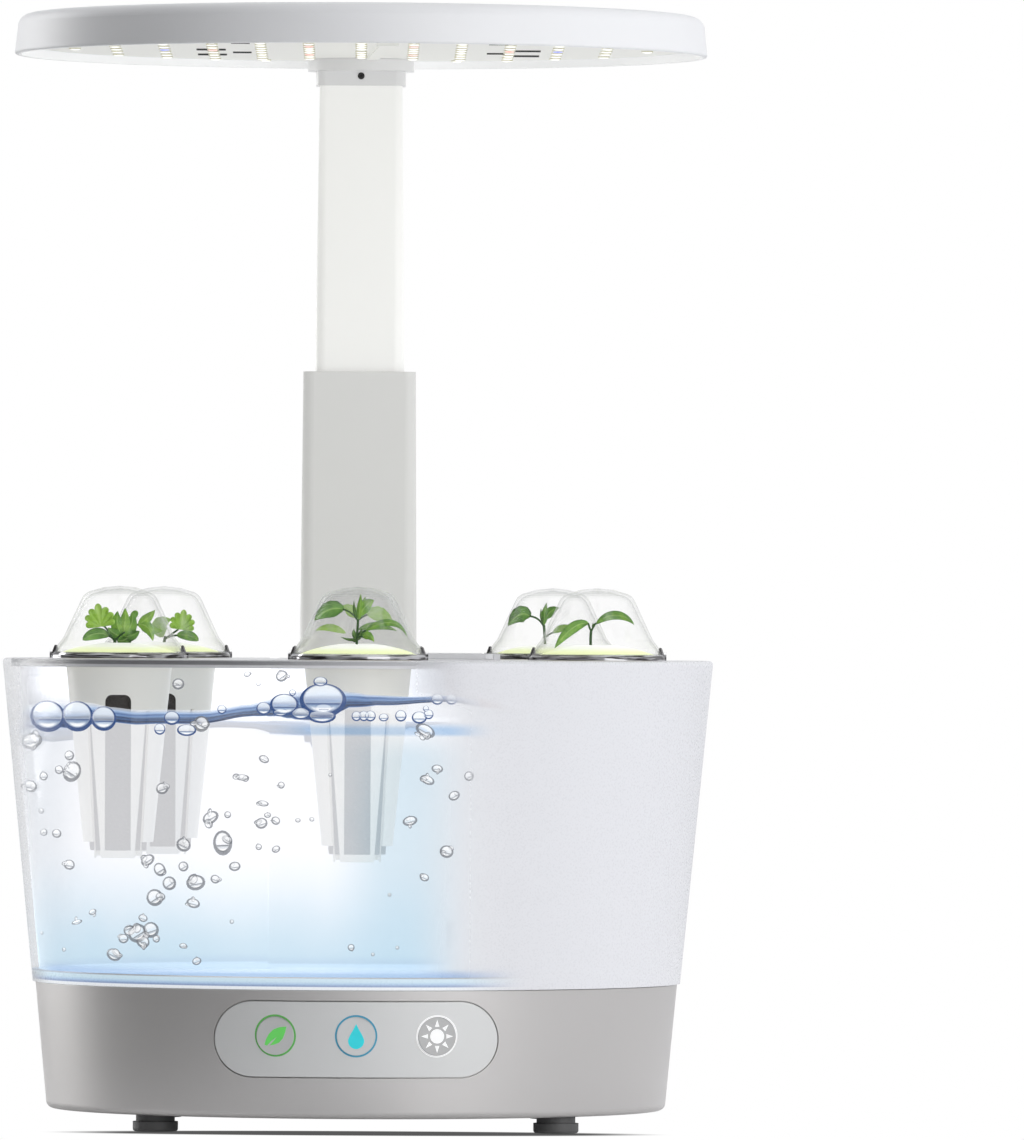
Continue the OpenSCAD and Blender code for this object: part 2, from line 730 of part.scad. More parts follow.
module bowl() {
    color([0.93, 0.95, 0.97, 0.6]) {
        difference() {
            bowl_form(bowl_foot_z);
            column_prism(column_gap, bowl_foot_z - 1);
            difference() {
                rotate_extrude() polygon([
                    [0, bowl_inside_z], [bowl_r(bowl_inside_z) - bowl_wall, bowl_inside_z],
                    [bowl_r(deck_z - seat_gap - ledge_h - ledge_w) - bowl_wall,
                     deck_z - seat_gap - ledge_h - ledge_w],
                    [bowl_r(deck_z) - bowl_wall - ledge_w, deck_z - seat_gap - ledge_h],
                    [bowl_r(deck_z) - bowl_wall - ledge_w, deck_z - seat_gap],
                    [bowl_r(deck_z) - bowl_wall, deck_z - seat_gap],
                    [bowl_r(rim_z) - bowl_wall, rim_z + 1], [0, rim_z + 1]
                ]);
                column_prism(column_gap + bowl_wall, bowl_foot_z - 1);
                translate([pump_x, pump_y, bowl_inside_z - 1]) difference() {
                    cylinder(r = 4, h = 1 + impeller_z - bowl_inside_z - 0.5);
                    translate([0, 0, 1.4]) cylinder(r = shaft_r + running_gap, h = 5);
                }
                rotate([0, 0, float_angle]) translate([float_circle_r, 0, bowl_inside_z - 1]) {
                    cylinder(r = rod_r, h = 1 + float_z + float_h + rod_head_t - bowl_inside_z);
                    translate([0, 0, 1 + float_z + float_h + seat_gap - bowl_inside_z])
                        cylinder(r = rod_r + 1.5, h = rod_head_t);
                }
            }
            translate([0, 0, bowl_foot_z - 1])
                cylinder(r = bowl_bottom_r - bowl_wall, h = 1 + bowl_floor_z - bowl_foot_z);
        }
    }
}

module pump_cover() {
    inside_h = cover_h - 3;
    color([0.25, 0.26, 0.28]) translate([pump_x, pump_y, bowl_inside_z]) difference() {
        union() {
            cylinder(r = cover_r, h = cover_h);
            translate([-cover_r - nozzle_reach, nozzle_y, nozzle_z]) rotate([0, 90, 0])
                cylinder(r = nozzle_r, h = cover_r + nozzle_reach);
        }
        translate([0, 0, -1]) cylinder(r = cover_r - cover_wall, h = inside_h + 1);
        translate([0, 0, inside_h - 1]) cylinder(r = shaft_r + running_gap, h = 3);
        translate([-cover_r - nozzle_reach - 1, nozzle_y, nozzle_z]) rotate([0, 90, 0])
            cylinder(r = nozzle_r - 1.5, h = cover_r + nozzle_reach + 1);
        for (a = [0 : 30 : 330]) rotate([0, 0, a]) translate([11, 0, inside_h - 1]) cylinder(r = 1.6, h = 5);
    }
}

module impeller() {
    color([0.9, 0.9, 0.92]) translate([pump_x, pump_y, 0]) {
        translate([0, 0, impeller_z]) cylinder(r = magnet_r, h = impeller_disc_t);
        for (a = [0 : 60 : 300]) rotate([0, 0, a])
            translate([shaft_r, -blade_t / 2, impeller_z + impeller_disc_t - 0.5])
                cube([magnet_r - shaft_r - 0.5, blade_t, impeller_h - impeller_disc_t + 0.5]);
        translate([0, 0, impeller_z]) cylinder(r = 3, h = impeller_top - impeller_z);
        translate([0, 0, bowl_inside_z + 0.7]) cylinder(r = shaft_r, h = cover_h - 2);
    }
}

module level_float() {
    color([0.95, 0.6, 0.2]) rotate([0, 0, float_angle]) translate([float_circle_r, 0, float_z])
        difference() {
            rotate_extrude() polygon(concat(
                [[rod_r + float_gap, 0]],
                arc(float_r - 2, 2, 2, -90, 0, 4),
                arc(float_r - 2, float_h - 2, 2, 0, 90, 4),
                [[rod_r + float_gap, float_h]]
            ));
            translate([rod_r + 3, -1.5, float_h - 2]) cube([3, 3, 3]);
        }
}

module grow_deck() {
    ear_h = lid_axis_z - rim_z + 0.8;
    color([0.95, 0.95, 0.96]) difference() {
        union() {
            difference() {
                translate([0, 0, deck_z]) cylinder(r = deck_r, h = deck_t);
                column_prism(column_gap + bowl_wall + deck_gap, deck_z - 1);
            }
            for (s = [-1, 1]) translate([
                lid_x + s * (lid_l / 2 + ear_gap + ear_w / 2) - ear_w / 2,
                lid_axis_y - 2, rim_z - 0.5
            ]) cube([ear_w, 4, ear_h + 0.5]);
        }
        for (n = PODS) at_pod(n) translate([0, 0, deck_z - 1]) cylinder(r = hole_r, h = deck_t + 2);
        translate([lid_x, lid_y, deck_z - 1]) linear_extrude(deck_t + 2)
            rounded_plan(port_l, port_w, lid_corner);
        translate([lid_x - lid_l, lid_axis_y, lid_axis_z]) rotate([0, 90, 0])
            cylinder(r = lid_pin_r + running_gap, h = 2 * lid_l);
    }
}

module fill_lid() {
    color([0.9, 0.9, 0.92]) {
        translate([lid_x, lid_y - lid_back_gap / 2, lid_axis_z - lid_t / 2]) difference() {
            linear_extrude(lid_t) rounded_plan(lid_l, lid_w - lid_back_gap, lid_corner);
            translate([0, -lid_w / 2 + 6, lid_t - 0.6]) linear_extrude(1) rounded_plan(lid_l / 2, 3, 1.4);
        }
        translate([lid_x - lid_l / 2 + 4, lid_axis_y, lid_axis_z]) rotate([0, 90, 0])
            cylinder(r = lid_knuckle_r, h = lid_l - 8);
        translate([lid_x - lid_l / 2 - ear_gap - ear_w, lid_axis_y, lid_axis_z]) rotate([0, 90, 0])
            cylinder(r = lid_pin_r, h = lid_l + 2 * (ear_gap + ear_w));
    }
}

// Front view of a mast: straight up to a level, then narrowing, then straight again to its end
module mast_front(low_w, high_w, from_z, lean_from, lean_to, to_z) {
    translate([0, mast_y + outer_depth, 0]) rotate([90, 0, 0]) linear_extrude(2 * outer_depth) polygon([
        [-low_w / 2 - 1, from_z], [low_w / 2 + 1, from_z], [low_w / 2 + 1, lean_from], [low_w / 2, lean_from],
        [high_w / 2, lean_to], [high_w / 2, to_z], [-high_w / 2, to_z], [-high_w / 2, lean_to],
        [-low_w / 2, lean_from], [-low_w / 2 - 1, lean_from]
    ]);
}

// Outer mast: straight below the deck, leaning in above it, with a straight passage
module mast_outer() {
    foot_w = outer_w + outer_taper;
    color([0.8, 0.8, 0.79]) difference() {
        intersection() {
            mast_block(foot_w, outer_depth, mast_corner, mast_foot_z, outer_top - mast_foot_z);
            mast_front(foot_w, outer_w, mast_foot_z - 1, rim_z, outer_top, outer_top + 1);
        }
        mast_block(passage_w, passage_depth, mast_corner - outer_wall,
                   mast_foot_z - 1, outer_top - mast_foot_z + 2);
    }
}

module mast_guide() {
    color([0.2, 0.2, 0.21]) difference() {
        mast_block(passage_w, passage_depth, mast_corner - outer_wall, outer_top - guide_l, guide_l);
        mast_block(inner_w + 2 * slide_gap, inner_depth + 2 * slide_gap, mast_corner - 1,
                   outer_top - guide_l - 1, guide_l + 2);
    }
}

// Inner mast: a foot block that fits the passage, a straight tube and a tube that narrows
module mast_inner() {
    color([0.95, 0.95, 0.95]) difference() {
        union() {
            mast_block(passage_w - 2 * slide_gap, passage_depth - 2 * slide_gap, mast_corner - outer_wall,
                       block_z, block_h);
            intersection() {
                mast_block(inner_w, inner_depth, mast_corner - 1, block_z + 1, disc_z - block_z - 1);
                mast_front(inner_w, inner_top_w, block_z, outer_top, sleeve_z, disc_z + 1);
            }
        }
        mast_block(bore_w, bore_depth, bore_corner, block_z - 1, disc_z - block_z + 2);
    }
}

module hood_shell() {
    in_r = hood_r - hood_wall;
    side_z = hood_side_top;
    color([0.93, 0.93, 0.94]) difference() {
        union() {
            difference() {
                rotate_extrude() polygon(concat(
                    [[0, hood_z]],
                    arc(hood_r - 0.8, hood_z + 0.8, 0.8, -90, 0, 3),
                    arc(hood_shoulder_r - hood_round, side_z, hood_round, 0, 90, 8),
                    [[0, hood_top]]
                ));
                rotate_extrude() polygon([
                    [0, hood_z - 1], [in_r, hood_z - 1], [in_r - hood_lean, side_z],
                    [in_r - hood_lean - 2, hood_ceiling], [0, hood_ceiling]
                ]);
            }
            difference() {
                ring(board_r - 5, in_r + 0.5 - hood_lean, ledge_z, 2);
                translate([-notch_w / 2, 0, ledge_z - 1]) cube([notch_w, hood_r, 4]);
            }
            translate([0, mast_y, neck_top]) cylinder(r = neck_r, h = hood_ceiling + 1 - neck_top);
        }
        for (s = [-1, 1]) translate([s * hub_screw_x, mast_y, neck_top - 1])
            cylinder(r = pilot_r, h = hub_pilot_l + 1);
        translate([0, mast_y, neck_top - 1]) cylinder(r = cable_hole_r, h = hub_pilot_l - 1);
    }
}

module hood_hub() {
    sleeve_w = inner_top_w + 2 * (hub_fit + sleeve_wall);
    sleeve_depth = inner_depth + 2 * (hub_fit + sleeve_wall);
    color([0.96, 0.96, 0.96]) difference() {
        union() {
            mast_block(sleeve_w, sleeve_depth, mast_corner - 1, sleeve_z, sleeve_h + 0.5);
            translate([0, mast_y, disc_z]) cylinder(r = hub_d / 2, h = hub_t);
            translate([0, mast_y, disc_top - 0.5]) cylinder(r = neck_r, h = neck_top - disc_top + 0.5);
        }
        mast_tip(hub_fit, sleeve_z - 1, sleeve_h + 1);
        translate([0, mast_y, disc_z - 1]) cylinder(r = cable_hole_r, h = neck_top - disc_z + 2);
        for (s = [-1, 1]) translate([s * hub_screw_x, mast_y, disc_z - 1])
            cylinder(r = screw_r + screw_gap, h = neck_top - disc_z + 2);
        translate([0, mast_y, set_screw_z]) rotate([90, 0, 0])
            cylinder(r = set_screw_r + running_gap, h = inner_depth);
    }
}

module hood_screws() {
    head_z = disc_z - screw_head_t;
    color([0.15, 0.15, 0.16]) {
        for (s = [-1, 1]) translate([s * hub_screw_x, mast_y, head_z])
            screw(neck_top - disc_z + hub_pilot_l - 1, hub_screw_head_r);
        translate([0, mast_y - inner_depth / 2 - hub_fit, set_screw_z]) rotate([90, 0, 0]) difference() {
            cylinder(r = set_screw_r, h = sleeve_wall + 0.3);
            translate([0, 0, 0.6]) cylinder(r = 0.6, h = 2, $fn = 6);
        }
    }
}

module led_board() {
    color([0.97, 0.97, 0.98]) translate([0, 0, board_z]) difference() {
        cylinder(r = board_r, h = board_t);
        translate([0, mast_y, -1]) intersection() {
            cylinder(r = notch_arc_r, h = board_t + 2);
            translate([-notch_w / 2, -notch_arc_r - 1, 0]) cube([notch_w, 2 * notch_arc_r + 2, board_t + 2]);
        }
        translate([-notch_w / 2, mast_y, -1]) cube([notch_w, notch_w, board_t + 2]);
    }
}

module led(spot) {
    translate([board_r * spot[0], board_r * spot[1], board_z - led_t]) {
        translate([-led_w / 2, -led_d / 2, 0]) cube([led_w, led_d, led_t]);
        translate([0, 0, -led_lens_h]) cylinder(r = led_lens_r, h = led_lens_h);
    }
}

module white_leds() {
    color([1, 1, 0.92]) for (p = white_spots) led(p);
}

module red_leds() {
    color([1, 0.35, 0.3]) for (p = red_spots) led(p);
}

module blue_leds() {
    color([0.3, 0.35, 1]) for (p = blue_spots) led(p);
}

// Flat lead under the board, from the hub's neck to its plug
module board_lead() {
    run = lead_end - lead_start;
    color([1, 1, 1]) {
        translate([lead_start[0], lead_start[1], board_z - lead_t]) rotate([0, 0, atan2(run[1], run[0])])
            translate([0, -lead_w / 2, 0]) cube([norm(run), lead_w, lead_t]);
        translate([lead_end[0] - lead_plug[0] / 2, lead_end[1] - lead_plug[1], board_z - lead_plug[2]])
            cube(lead_plug);
    }
}

// Puts a child at a pod's place
module at_pod(n) {
    translate([pod_xy(n)[0], pod_xy(n)[1], 0]) children();
}

// Grow basket: flange, cone, front and back windows, four slits and a bar across its end
module basket() {
    low = rim_z - basket_h;
    color([0.93, 0.92, 0.89]) difference() {
        union() {
            translate([0, 0, pod_seat_z]) cylinder(r = flange_d / 2, h = flange_t);
            translate([0, 0, low]) cylinder(r1 = basket_end_r, r2 = basket_r, h = basket_h);
            translate([0, 0, rim_z - 0.5]) cylinder(r = basket_r, h = 1 + seat_gap);
        }
        difference() {
            translate([0, 0, low - 1])
                cylinder(r1 = basket_at(basket_h + 1) - basket_wall, r2 = basket_r - basket_wall,
                         h = basket_h + 1);
            translate([-8, -basket_end_r, low + 0.8]) cube([16, 2 * basket_end_r, bar_t]);
        }
        translate([0, 0, rim_z - 1]) cylinder(r = basket_r - basket_wall, h = flange_t + 3);
        for (a = [0, 180]) rotate([0, 0, a]) front_window(low);
        for (a = [slit_angle, -slit_angle, 180 - slit_angle, 180 + slit_angle]) rotate([0, 0, a - 90])
            slit(low);
        for (s = [-1, 1]) translate([s * (basket_d / 2 + 8.8), 0, low + 2.5])
            cube([basket_d, basket_d, 6.9], center = true);
    }
}

// Slit beside a window, which widens towards the basket's end
module slit(low) {
    translate([slit_start_r, 0, 0]) rotate([90, 0, 90]) linear_extrude(basket_d) polygon([
        [-slit_end_w / 2, low - 1], [slit_end_w / 2, low - 1],
        [slit_w / 2, rim_z - window_drop - 6], [-slit_w / 2, rim_z - window_drop - 6]
    ]);
}

// Window with rounded upper corners on the basket's front
module front_window(low) {
    corner = 2.5;
    h = basket_h - window_drop - bar_t - 0.8;
    translate([0, -1, low + bar_t + 0.8]) rotate([90, 0, 0]) linear_extrude(basket_d) {
        translate([-window_w / 2, 0]) square([window_w, h - corner]);
        translate([-window_w / 2 + corner, 0]) square([window_w - 2 * corner, h]);
        for (s = [-1, 1]) translate([s * (window_w / 2 - corner), h - corner]) circle(corner);
    }
}

module sponge() {
    low_r = basket_at(rim_z - sponge_bottom) - basket_wall - sponge_gap;
    top_r = basket_at(rim_z - sponge_top) - basket_wall - sponge_gap;
    color([0.45, 0.41, 0.38]) translate([0, 0, sponge_bottom])
        cylinder(r1 = low_r, r2 = top_r, h = sponge_top - sponge_bottom);
}

// Crowned label: an arc turned round the pod's axis, on a flat edge
module label() {
    hole_angle = asin(label_hole_d / 2 / label_bulge_r);
    centre_z = label_rise - label_bulge_r;
    under = arc(0, centre_z, label_bulge_r, 90 - hole_angle, 90 - label_half_angle, 6);
    top = arc(0, centre_z + label_t, label_bulge_r, 90 - label_half_angle, 90 - hole_angle, 6);
    color([0.9, 0.97, 0.75]) translate([0, 0, flange_top]) rotate_extrude()
        polygon(concat([[label_r, 0]], top, under));
}

// Clear dome: foot, shoulder, waist and rounded crown, with two lugs
module dome() {
    outside = concat(dome_flare, dome_crown);
    flare_inside = [for (i = [2 : len(dome_flare) - 1]) dome_flare[i] - [dome_wall, 0]];
    crown_inside = [for (p = dome_crown) p - [dome_wall, dome_wall]];
    foot_inner_r = flange_d / 2 + 0.4;
    color([0.9, 0.95, 0.97, 0.35]) translate([0, 0, pod_seat_z]) difference() {
        union() {
            rotate_extrude() polygon(concat([[0, 0]], outside, [[0, dome_h]]));
            for (s = [-1, 1]) translate([s * (dome_r - 1.2) - 1.4, -3, 0]) cube([2.8, 6, 3.4]);
        }
        rotate_extrude() polygon(concat(
            [[0, -1], [foot_inner_r, -1], [foot_inner_r, dome_foot_h + 0.4]],
            flare_inside, crown_inside, [[0, dome_h - dome_wall]]
        ));
    }
}

// Outline of a pointed leaf that starts at the origin and lies along +X
module leaf_plan(l, w) {
    r = (l * l + w * w) / (4 * w);
    translate([l / 2, 0]) intersection() {
        translate([0, r - w / 2]) circle(r);
        translate([0, w / 2 - r]) circle(r);
    }
}

// Leaf on its stalk: azimuth, rise of the stalk, rise of the blade, roll, stalk, length, width
module leaf(azimuth, stalk_rise, blade_rise, roll, stalk, l, w) {
    rotate([0, 0, azimuth]) {
        rotate([0, 90 - stalk_rise, 0]) cylinder(r = 0.45, h = stalk);
        translate([stalk * cos(stalk_rise), 0, stalk * sin(stalk_rise)]) rotate([0, -blade_rise, 0])
            rotate([roll, 0, 0]) translate([-0.6, 0, -0.25]) linear_extrude(0.5) leaf_plan(l, w);
    }
}

// Seedling kinds, with leaves as rows for leaf() after the height at which each one starts
broad_leaves = [
    [8, 180, 40, -22, 62, 6.8, 11.4, 7.4], [8.7, 62, 78, 62, 50, 2, 8.4, 6],
    [4.3, 0, 30, -18, 62, 6, 13.5, 5], [7.1, 20, 30, 20, 40, 2, 6.5, 4.4], [6.1, 150, 10, -18, 50, 4, 9, 5],
    [2.2, 180, 25, 10, 55, 1, 5.5, 2.6], [2.2, 0, 15, -25, 60, 1, 5, 3.4]
];
lance_leaves = [
    [7, 180, 30, -38, 60, 2.5, 15.5, 4.7], [7, 0, 40, -8, 62, 4, 11.8, 4],
    [6.7, 90, 72, 75, 30, 1.2, 4, 1.8]
];
lobed_leaves = [
    [2.6, 180, 30, -8, 62, 2.5, 9, 4.6], [3, 168, 62, 22, 60, 7, 9, 7.2], [3.6, 24, 72, 40, 55, 4, 7, 5.6],
    [2, 350, 52, 20, 62, 7.5, 9, 6.6], [1.6, 8, 28, -12, 60, 6, 8.5, 5.4]
];
function leaves_of(n) = n == 2 ? lance_leaves : (n == 4 || n == 5) ? lobed_leaves : broad_leaves;
function stem_of(n) = n == 2 ? 7.7 : (n == 4 || n == 5) ? 4 : 9.3;

module seedling(n) {
    color([0.36, 0.62, 0.27]) {
        translate([0, 0, sponge_top]) cylinder(r = 0.7, h = label_crown_z + stem_of(n) - sponge_top);
        translate([0, 0, label_crown_z]) for (row = leaves_of(n)) translate([0, 0, row[0]])
            leaf(row[1], row[2], row[3], row[4], row[5], row[6], row[7]);
    }
}

base_shell();
bottom_plate();
base_screws();
feet();
control_panel();
food_button();
water_lens();
light_button();
control_board();
dc_jack();
pump_motor();
drive_magnet();
rear_column();
bowl();
pump_cover();
impeller();
level_float();
grow_deck();
fill_lid();
mast_outer();
mast_guide();
mast_inner();
hood_shell();
hood_hub();
led_board();
white_leds();
red_leds();
blue_leds();
hood_screws();
board_lead();
for (n = PODS) {
    at_pod(n) basket();
    at_pod(n) sponge();
    at_pod(n) label();
    at_pod(n) seedling(n);
    at_pod(n) dome();
}
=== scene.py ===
# %% [markdown]
# # A countertop hydroponic garden, dressed
# The engineers' solids are loaded first and never move. Everything that follows either paints one of
# them or puts a finer piece in its place, in metres and in the same frame.
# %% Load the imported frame
import json
import math
import random

import bmesh
import bpy
from mathutils import Matrix, Vector


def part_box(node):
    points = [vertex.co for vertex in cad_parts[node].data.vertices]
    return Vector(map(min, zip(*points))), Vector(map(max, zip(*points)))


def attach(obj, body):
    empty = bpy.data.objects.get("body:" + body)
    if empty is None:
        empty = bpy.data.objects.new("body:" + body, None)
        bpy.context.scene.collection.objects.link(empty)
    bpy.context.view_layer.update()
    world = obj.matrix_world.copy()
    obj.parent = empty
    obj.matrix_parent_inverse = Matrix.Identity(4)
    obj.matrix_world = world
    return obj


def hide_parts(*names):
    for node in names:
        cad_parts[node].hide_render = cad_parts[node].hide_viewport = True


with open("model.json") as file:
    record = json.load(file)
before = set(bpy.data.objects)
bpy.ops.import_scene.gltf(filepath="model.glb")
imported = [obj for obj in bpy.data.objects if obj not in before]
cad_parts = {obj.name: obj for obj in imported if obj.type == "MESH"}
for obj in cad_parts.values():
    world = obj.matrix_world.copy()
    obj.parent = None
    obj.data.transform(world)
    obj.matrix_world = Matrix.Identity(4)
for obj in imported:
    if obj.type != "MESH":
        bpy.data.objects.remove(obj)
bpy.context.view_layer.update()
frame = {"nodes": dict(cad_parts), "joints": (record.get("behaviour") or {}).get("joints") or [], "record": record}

NODES = frame["nodes"]
SLOT_OF = {part["node"]: part["material_slot"] for part in frame["record"]["subparts"]}
PODS = range(1, 7)
MM = 0.001
scene = bpy.context.scene

# %% [markdown]
# ## Shader maths that reads like arithmetic
# A node tree is easier to follow as a sum. This small class wraps one socket, so `1 - mask * 0.5` adds
# the Math nodes by itself. Colours never go through Math nodes, because those would turn them grey.
# %% A socket that can be added and multiplied


class Term:
    def __init__(self, finish, socket):
        self.finish = finish
        self.socket = socket

    def maths(self, operation, *values):
        return self.finish.node("Math", values, operation=operation)

    def __add__(self, other):
        return self.maths("ADD", self, other)

    def __sub__(self, other):
        return self.maths("SUBTRACT", self, other)

    def __rsub__(self, other):
        return self.maths("SUBTRACT", other, self)

    def __mul__(self, other):
        return self.maths("MULTIPLY", self, other)

    def __truediv__(self, other):
        return self.maths("DIVIDE", self, other)

    def __pow__(self, other):
        return self.maths("POWER", self, other)

    def __abs__(self):
        return self.maths("ABSOLUTE", self)

    def sine(self):
        return self.maths("SINE", self)

    __radd__, __rmul__ = __add__, __mul__


# %% [markdown]
# ## A finish is a material with a few helpers
# Every material starts as a Principled shader, and the studio's surroundings as a Background. One method
# makes any node; the others are what this garden needs over and over: noise, smooth steps and colour
# mixes, all on Object coordinates, so a pattern stays put when the part moves.
# %% The finish class
FINISHES = {}


class Finish:
    def __init__(self, name, world=False, **constants):
        FINISHES[name] = self
        self.material = (bpy.data.worlds if world else bpy.data.materials).new(name)
        self.material.use_nodes = True
        self.tree = self.material.node_tree
        self.shader = self.tree.nodes["Background" if world else "Principled BSDF"]
        self.surface = Term(self, self.shader.outputs[0])
        self.output = self.tree.nodes["World Output" if world else "Material Output"]
        self.place = self.node("TexCoord", output="Generated" if world else "Object")
        for key, value in constants.items():
            self.set(key, value)

    def node(self, kind, inputs=(), output=0, stops=(), **settings):
        made = self.tree.nodes.new("ShaderNode" + kind)
        for name, value in settings.items():
            setattr(made, name, value)
        for index, (spot, colour) in enumerate(stops):
            elements = made.color_ramp.elements
            element = elements[index] if index < 2 else elements.new(spot)
            element.position = spot
            element.color = (*colour, 1)
        for key, value in inputs.items() if isinstance(inputs, dict) else enumerate(inputs):
            self.feed(made.inputs[key], value)
        return Term(self, made.outputs[output])

    def feed(self, socket, value):
        if isinstance(value, Term):
            self.tree.links.new(value.socket, socket)
        elif socket.type == "RGBA" and len(value) == 3:
            socket.default_value = (*value, 1)
        else:
            socket.default_value = value

    def set(self, name, value):
        self.feed(self.shader.inputs[name.replace("_", " ")], value)

    def glow(self, colour, strength):
        self.set("Emission Color", colour)
        self.set("Emission Strength", strength)

    def noise(self, scale, detail=2, roughness=0.5, stretch=None):
        place = self.node("Mapping", {"Vector": self.place, "Scale": stretch}) if stretch else self.place
        return self.node("TexNoise", {
            "Vector": place, "Scale": scale, "Detail": detail, "Roughness": roughness})

    def xyz(self):
        return [self.node("SeparateXYZ", [self.place], letter) for letter in "XYZ"]

    def smooth(self, value, low, high, start=0, stop=1):
        """Runs smoothly from start to stop while value goes from low to high."""
        return self.node("MapRange", {
            "Value": value, "From Min": low, "From Max": high, "To Min": start, "To Max": stop},
            interpolation_type="SMOOTHSTEP")

    def fade(self, value, low, high):
        """A smooth step between two places in millimetres."""
        return self.smooth(value, low * MM, high * MM)

    def attribute(self, name):
        return self.node("Attribute", output="Fac", attribute_name=name)

    def clamp(self, value):
        return self.node("Clamp", [value])

    def ramp(self, value, *stops):
        return self.node("ValToRGB", [value], stops=stops)

    def mix(self, factor, first, second):
        return self.node("Mix", {0: factor, 6: first, 7: second}, 2, data_type="RGBA")

    def bump(self, height, strength, distance=0.2 * MM, normal=None):
        inputs = {"Height": height, "Strength": strength, "Distance": distance}
        if normal is not None:
            inputs["Normal"] = normal
        self.set("Normal", self.node("Bump", inputs))

    def rim_light(self, blend):
        return self.node("LayerWeight", {"Blend": blend}, "Facing")

    def show(self, factor, first, second):
        """Makes a mix of two shaders what the eye meets."""
        mixed = self.node("MixShader", [factor, first, second])
        self.tree.links.new(mixed.socket, self.output.inputs[0])

    def see_through(self, cover):
        """Shows the shader where cover is 1 and what is behind it where cover is 0."""
        self.show(cover, self.node("BsdfTransparent"), self.surface)


CLOUDINESS = 0.025
SOFT_EDGE = 0.4 * MM


def moulded(name, colour, rough, grain=0.15, grain_scale=1400, metallic=0.0, glow=None):
    """Moulded plastic: faint clouds in its colour, a fine grain in its gloss, edges that catch light."""
    finish = Finish(name, Metallic=metallic)
    speck = finish.noise(grain_scale, 1)
    dark = [channel * (1 - CLOUDINESS) for channel in colour]
    light = [min(channel * (1 + CLOUDINESS), 1) for channel in colour]
    finish.set("Base Color", finish.mix(finish.noise(9, 3), dark, light))
    finish.set("Roughness", rough - 0.04 + speck * 0.08)
    edge = finish.node("Bevel", {"Radius": SOFT_EDGE}, samples=4)
    finish.bump(speck, grain, 0.05 * MM, edge)
    if glow:
        finish.glow(*glow)
    return finish


# %% [markdown]
# ## The finishes of the housings
# Plastics differ in three ways that a viewer reads at once: how bright, how glossy, how grainy. The base
# is a satin grey with a little metal in its paint, the bowl and hood are cool whites, and the masts are
# warmer. A faint glow stands for the light that white parts throw on each other.
# %% Plastics, metals and rubber
# Each row is a name, a colour, how rough it is, its grain and the grain's scale, and how metallic it is.
for settings in (
        ("base_grey", (0.59, 0.575, 0.565), 0.40, 0.25, 2200, 0.85),
        ("panel_silver", (0.70, 0.705, 0.70), 0.38, 0.1, 2600, 0.35),
        ("button_satin", (0.70, 0.705, 0.70), 0.4, 0.1, 2600, 0.35),
        ("sun_field", (0.44, 0.44, 0.44), 0.4, 0.1, 2600, 0.3),
        ("lens_clear", (0.70, 0.71, 0.71), 0.25, 0.05, 2600, 0.1),
        ("plate_grey", (0.10, 0.10, 0.105), 0.6, 0.5, 700, 0),
        ("foot_rubber", (0.09, 0.09, 0.09), 0.5, 0.5, 900, 0),
        ("jack_black", (0.02, 0.02, 0.02), 0.45, 0.15, 1400, 0),
        ("screw_steel", (0.62, 0.62, 0.64), 0.28, 0.2, 900, 1.0),
        ("screw_black", (0.02, 0.02, 0.02), 0.35, 0.2, 900, 0),
        ("circuit_green", (0.03, 0.19, 0.07), 0.35, 0.3, 500, 0),
        ("motor_metal", (0.5, 0.5, 0.52), 0.35, 0.3, 500, 1.0),
        ("magnet_dark", (0.2, 0.2, 0.22), 0.3, 0.2, 500, 1.0),
        ("pump_dark", (0.10, 0.10, 0.11), 0.5, 0.3, 900, 0),
        ("impeller_white", (0.8, 0.8, 0.82), 0.35, 0.15, 1400, 0),
        ("float_orange", (0.75, 0.25, 0.04), 0.45, 0.2, 900, 0)):
    moulded(*settings)
moulded("column_grey", (0.42, 0.42, 0.41), 0.5, 0.1, 1600, glow=((1, 1, 0.98), 0.32))
deck_white = moulded("deck_white", (0.80, 0.80, 0.82), 0.3, 0.05)
# The deck's rim side, seen through the bowl, is painted darker grey, darkest on the left: painted shade.
x, y, z = deck_white.xyz()
rim_shade_band = deck_white.fade((x * x + y * y) ** 0.5, 126, 127)
rim_shade_band = rim_shade_band * deck_white.fade(z, 174.9, 174.4) * deck_white.fade(z, 172.9, 173.4)
painted_shade_tone = deck_white.mix(deck_white.fade(x, -60, 10), (0.24, 0.24, 0.25), (0.50, 0.50, 0.52))
deck_white.set("Base Color", deck_white.mix(rim_shade_band, (0.80, 0.80, 0.82), painted_shade_tone))
moulded("mast_white", (0.55, 0.55, 0.54), 0.42, 0.05, glow=((1, 1, 0.97), 0.45))
moulded("hub_white", (0.56, 0.56, 0.56), 0.42, 0.05, glow=((1, 1, 1), 0.24))
hood_white = moulded("hood_white", (0.88, 0.885, 0.90), 0.45, 0.12, 1800)
x, y, z = hood_white.xyz()
BOARD_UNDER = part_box("led_board")[0].z
# The hood's inner rim below the board glows: painted light from the diodes.
rim_painted_light = hood_white.fade((x * x + y * y) ** 0.5, 129, 128)
rim_painted_light = rim_painted_light * hood_white.smooth(z, BOARD_UNDER + 1.5 * MM, BOARD_UNDER)
hood_white.glow(hood_white.mix(rim_painted_light, (0, 0, 0), (1, 1, 0.96)), 0.25)
# The board glows a little: painted light from its diodes.
moulded("board_white", (0.70, 0.70, 0.67), 0.4, 0.02, glow=((1, 1, 0.95), 0.2))
# The baskets glow a little: painted light that lifts them out of the shade inside the bowl.
moulded("basket_ivory", (0.70, 0.68, 0.61), 0.42, 0.12, 1100, glow=((0.92, 0.90, 0.82), 0.21))
print(len(FINISHES), "plain finishes")

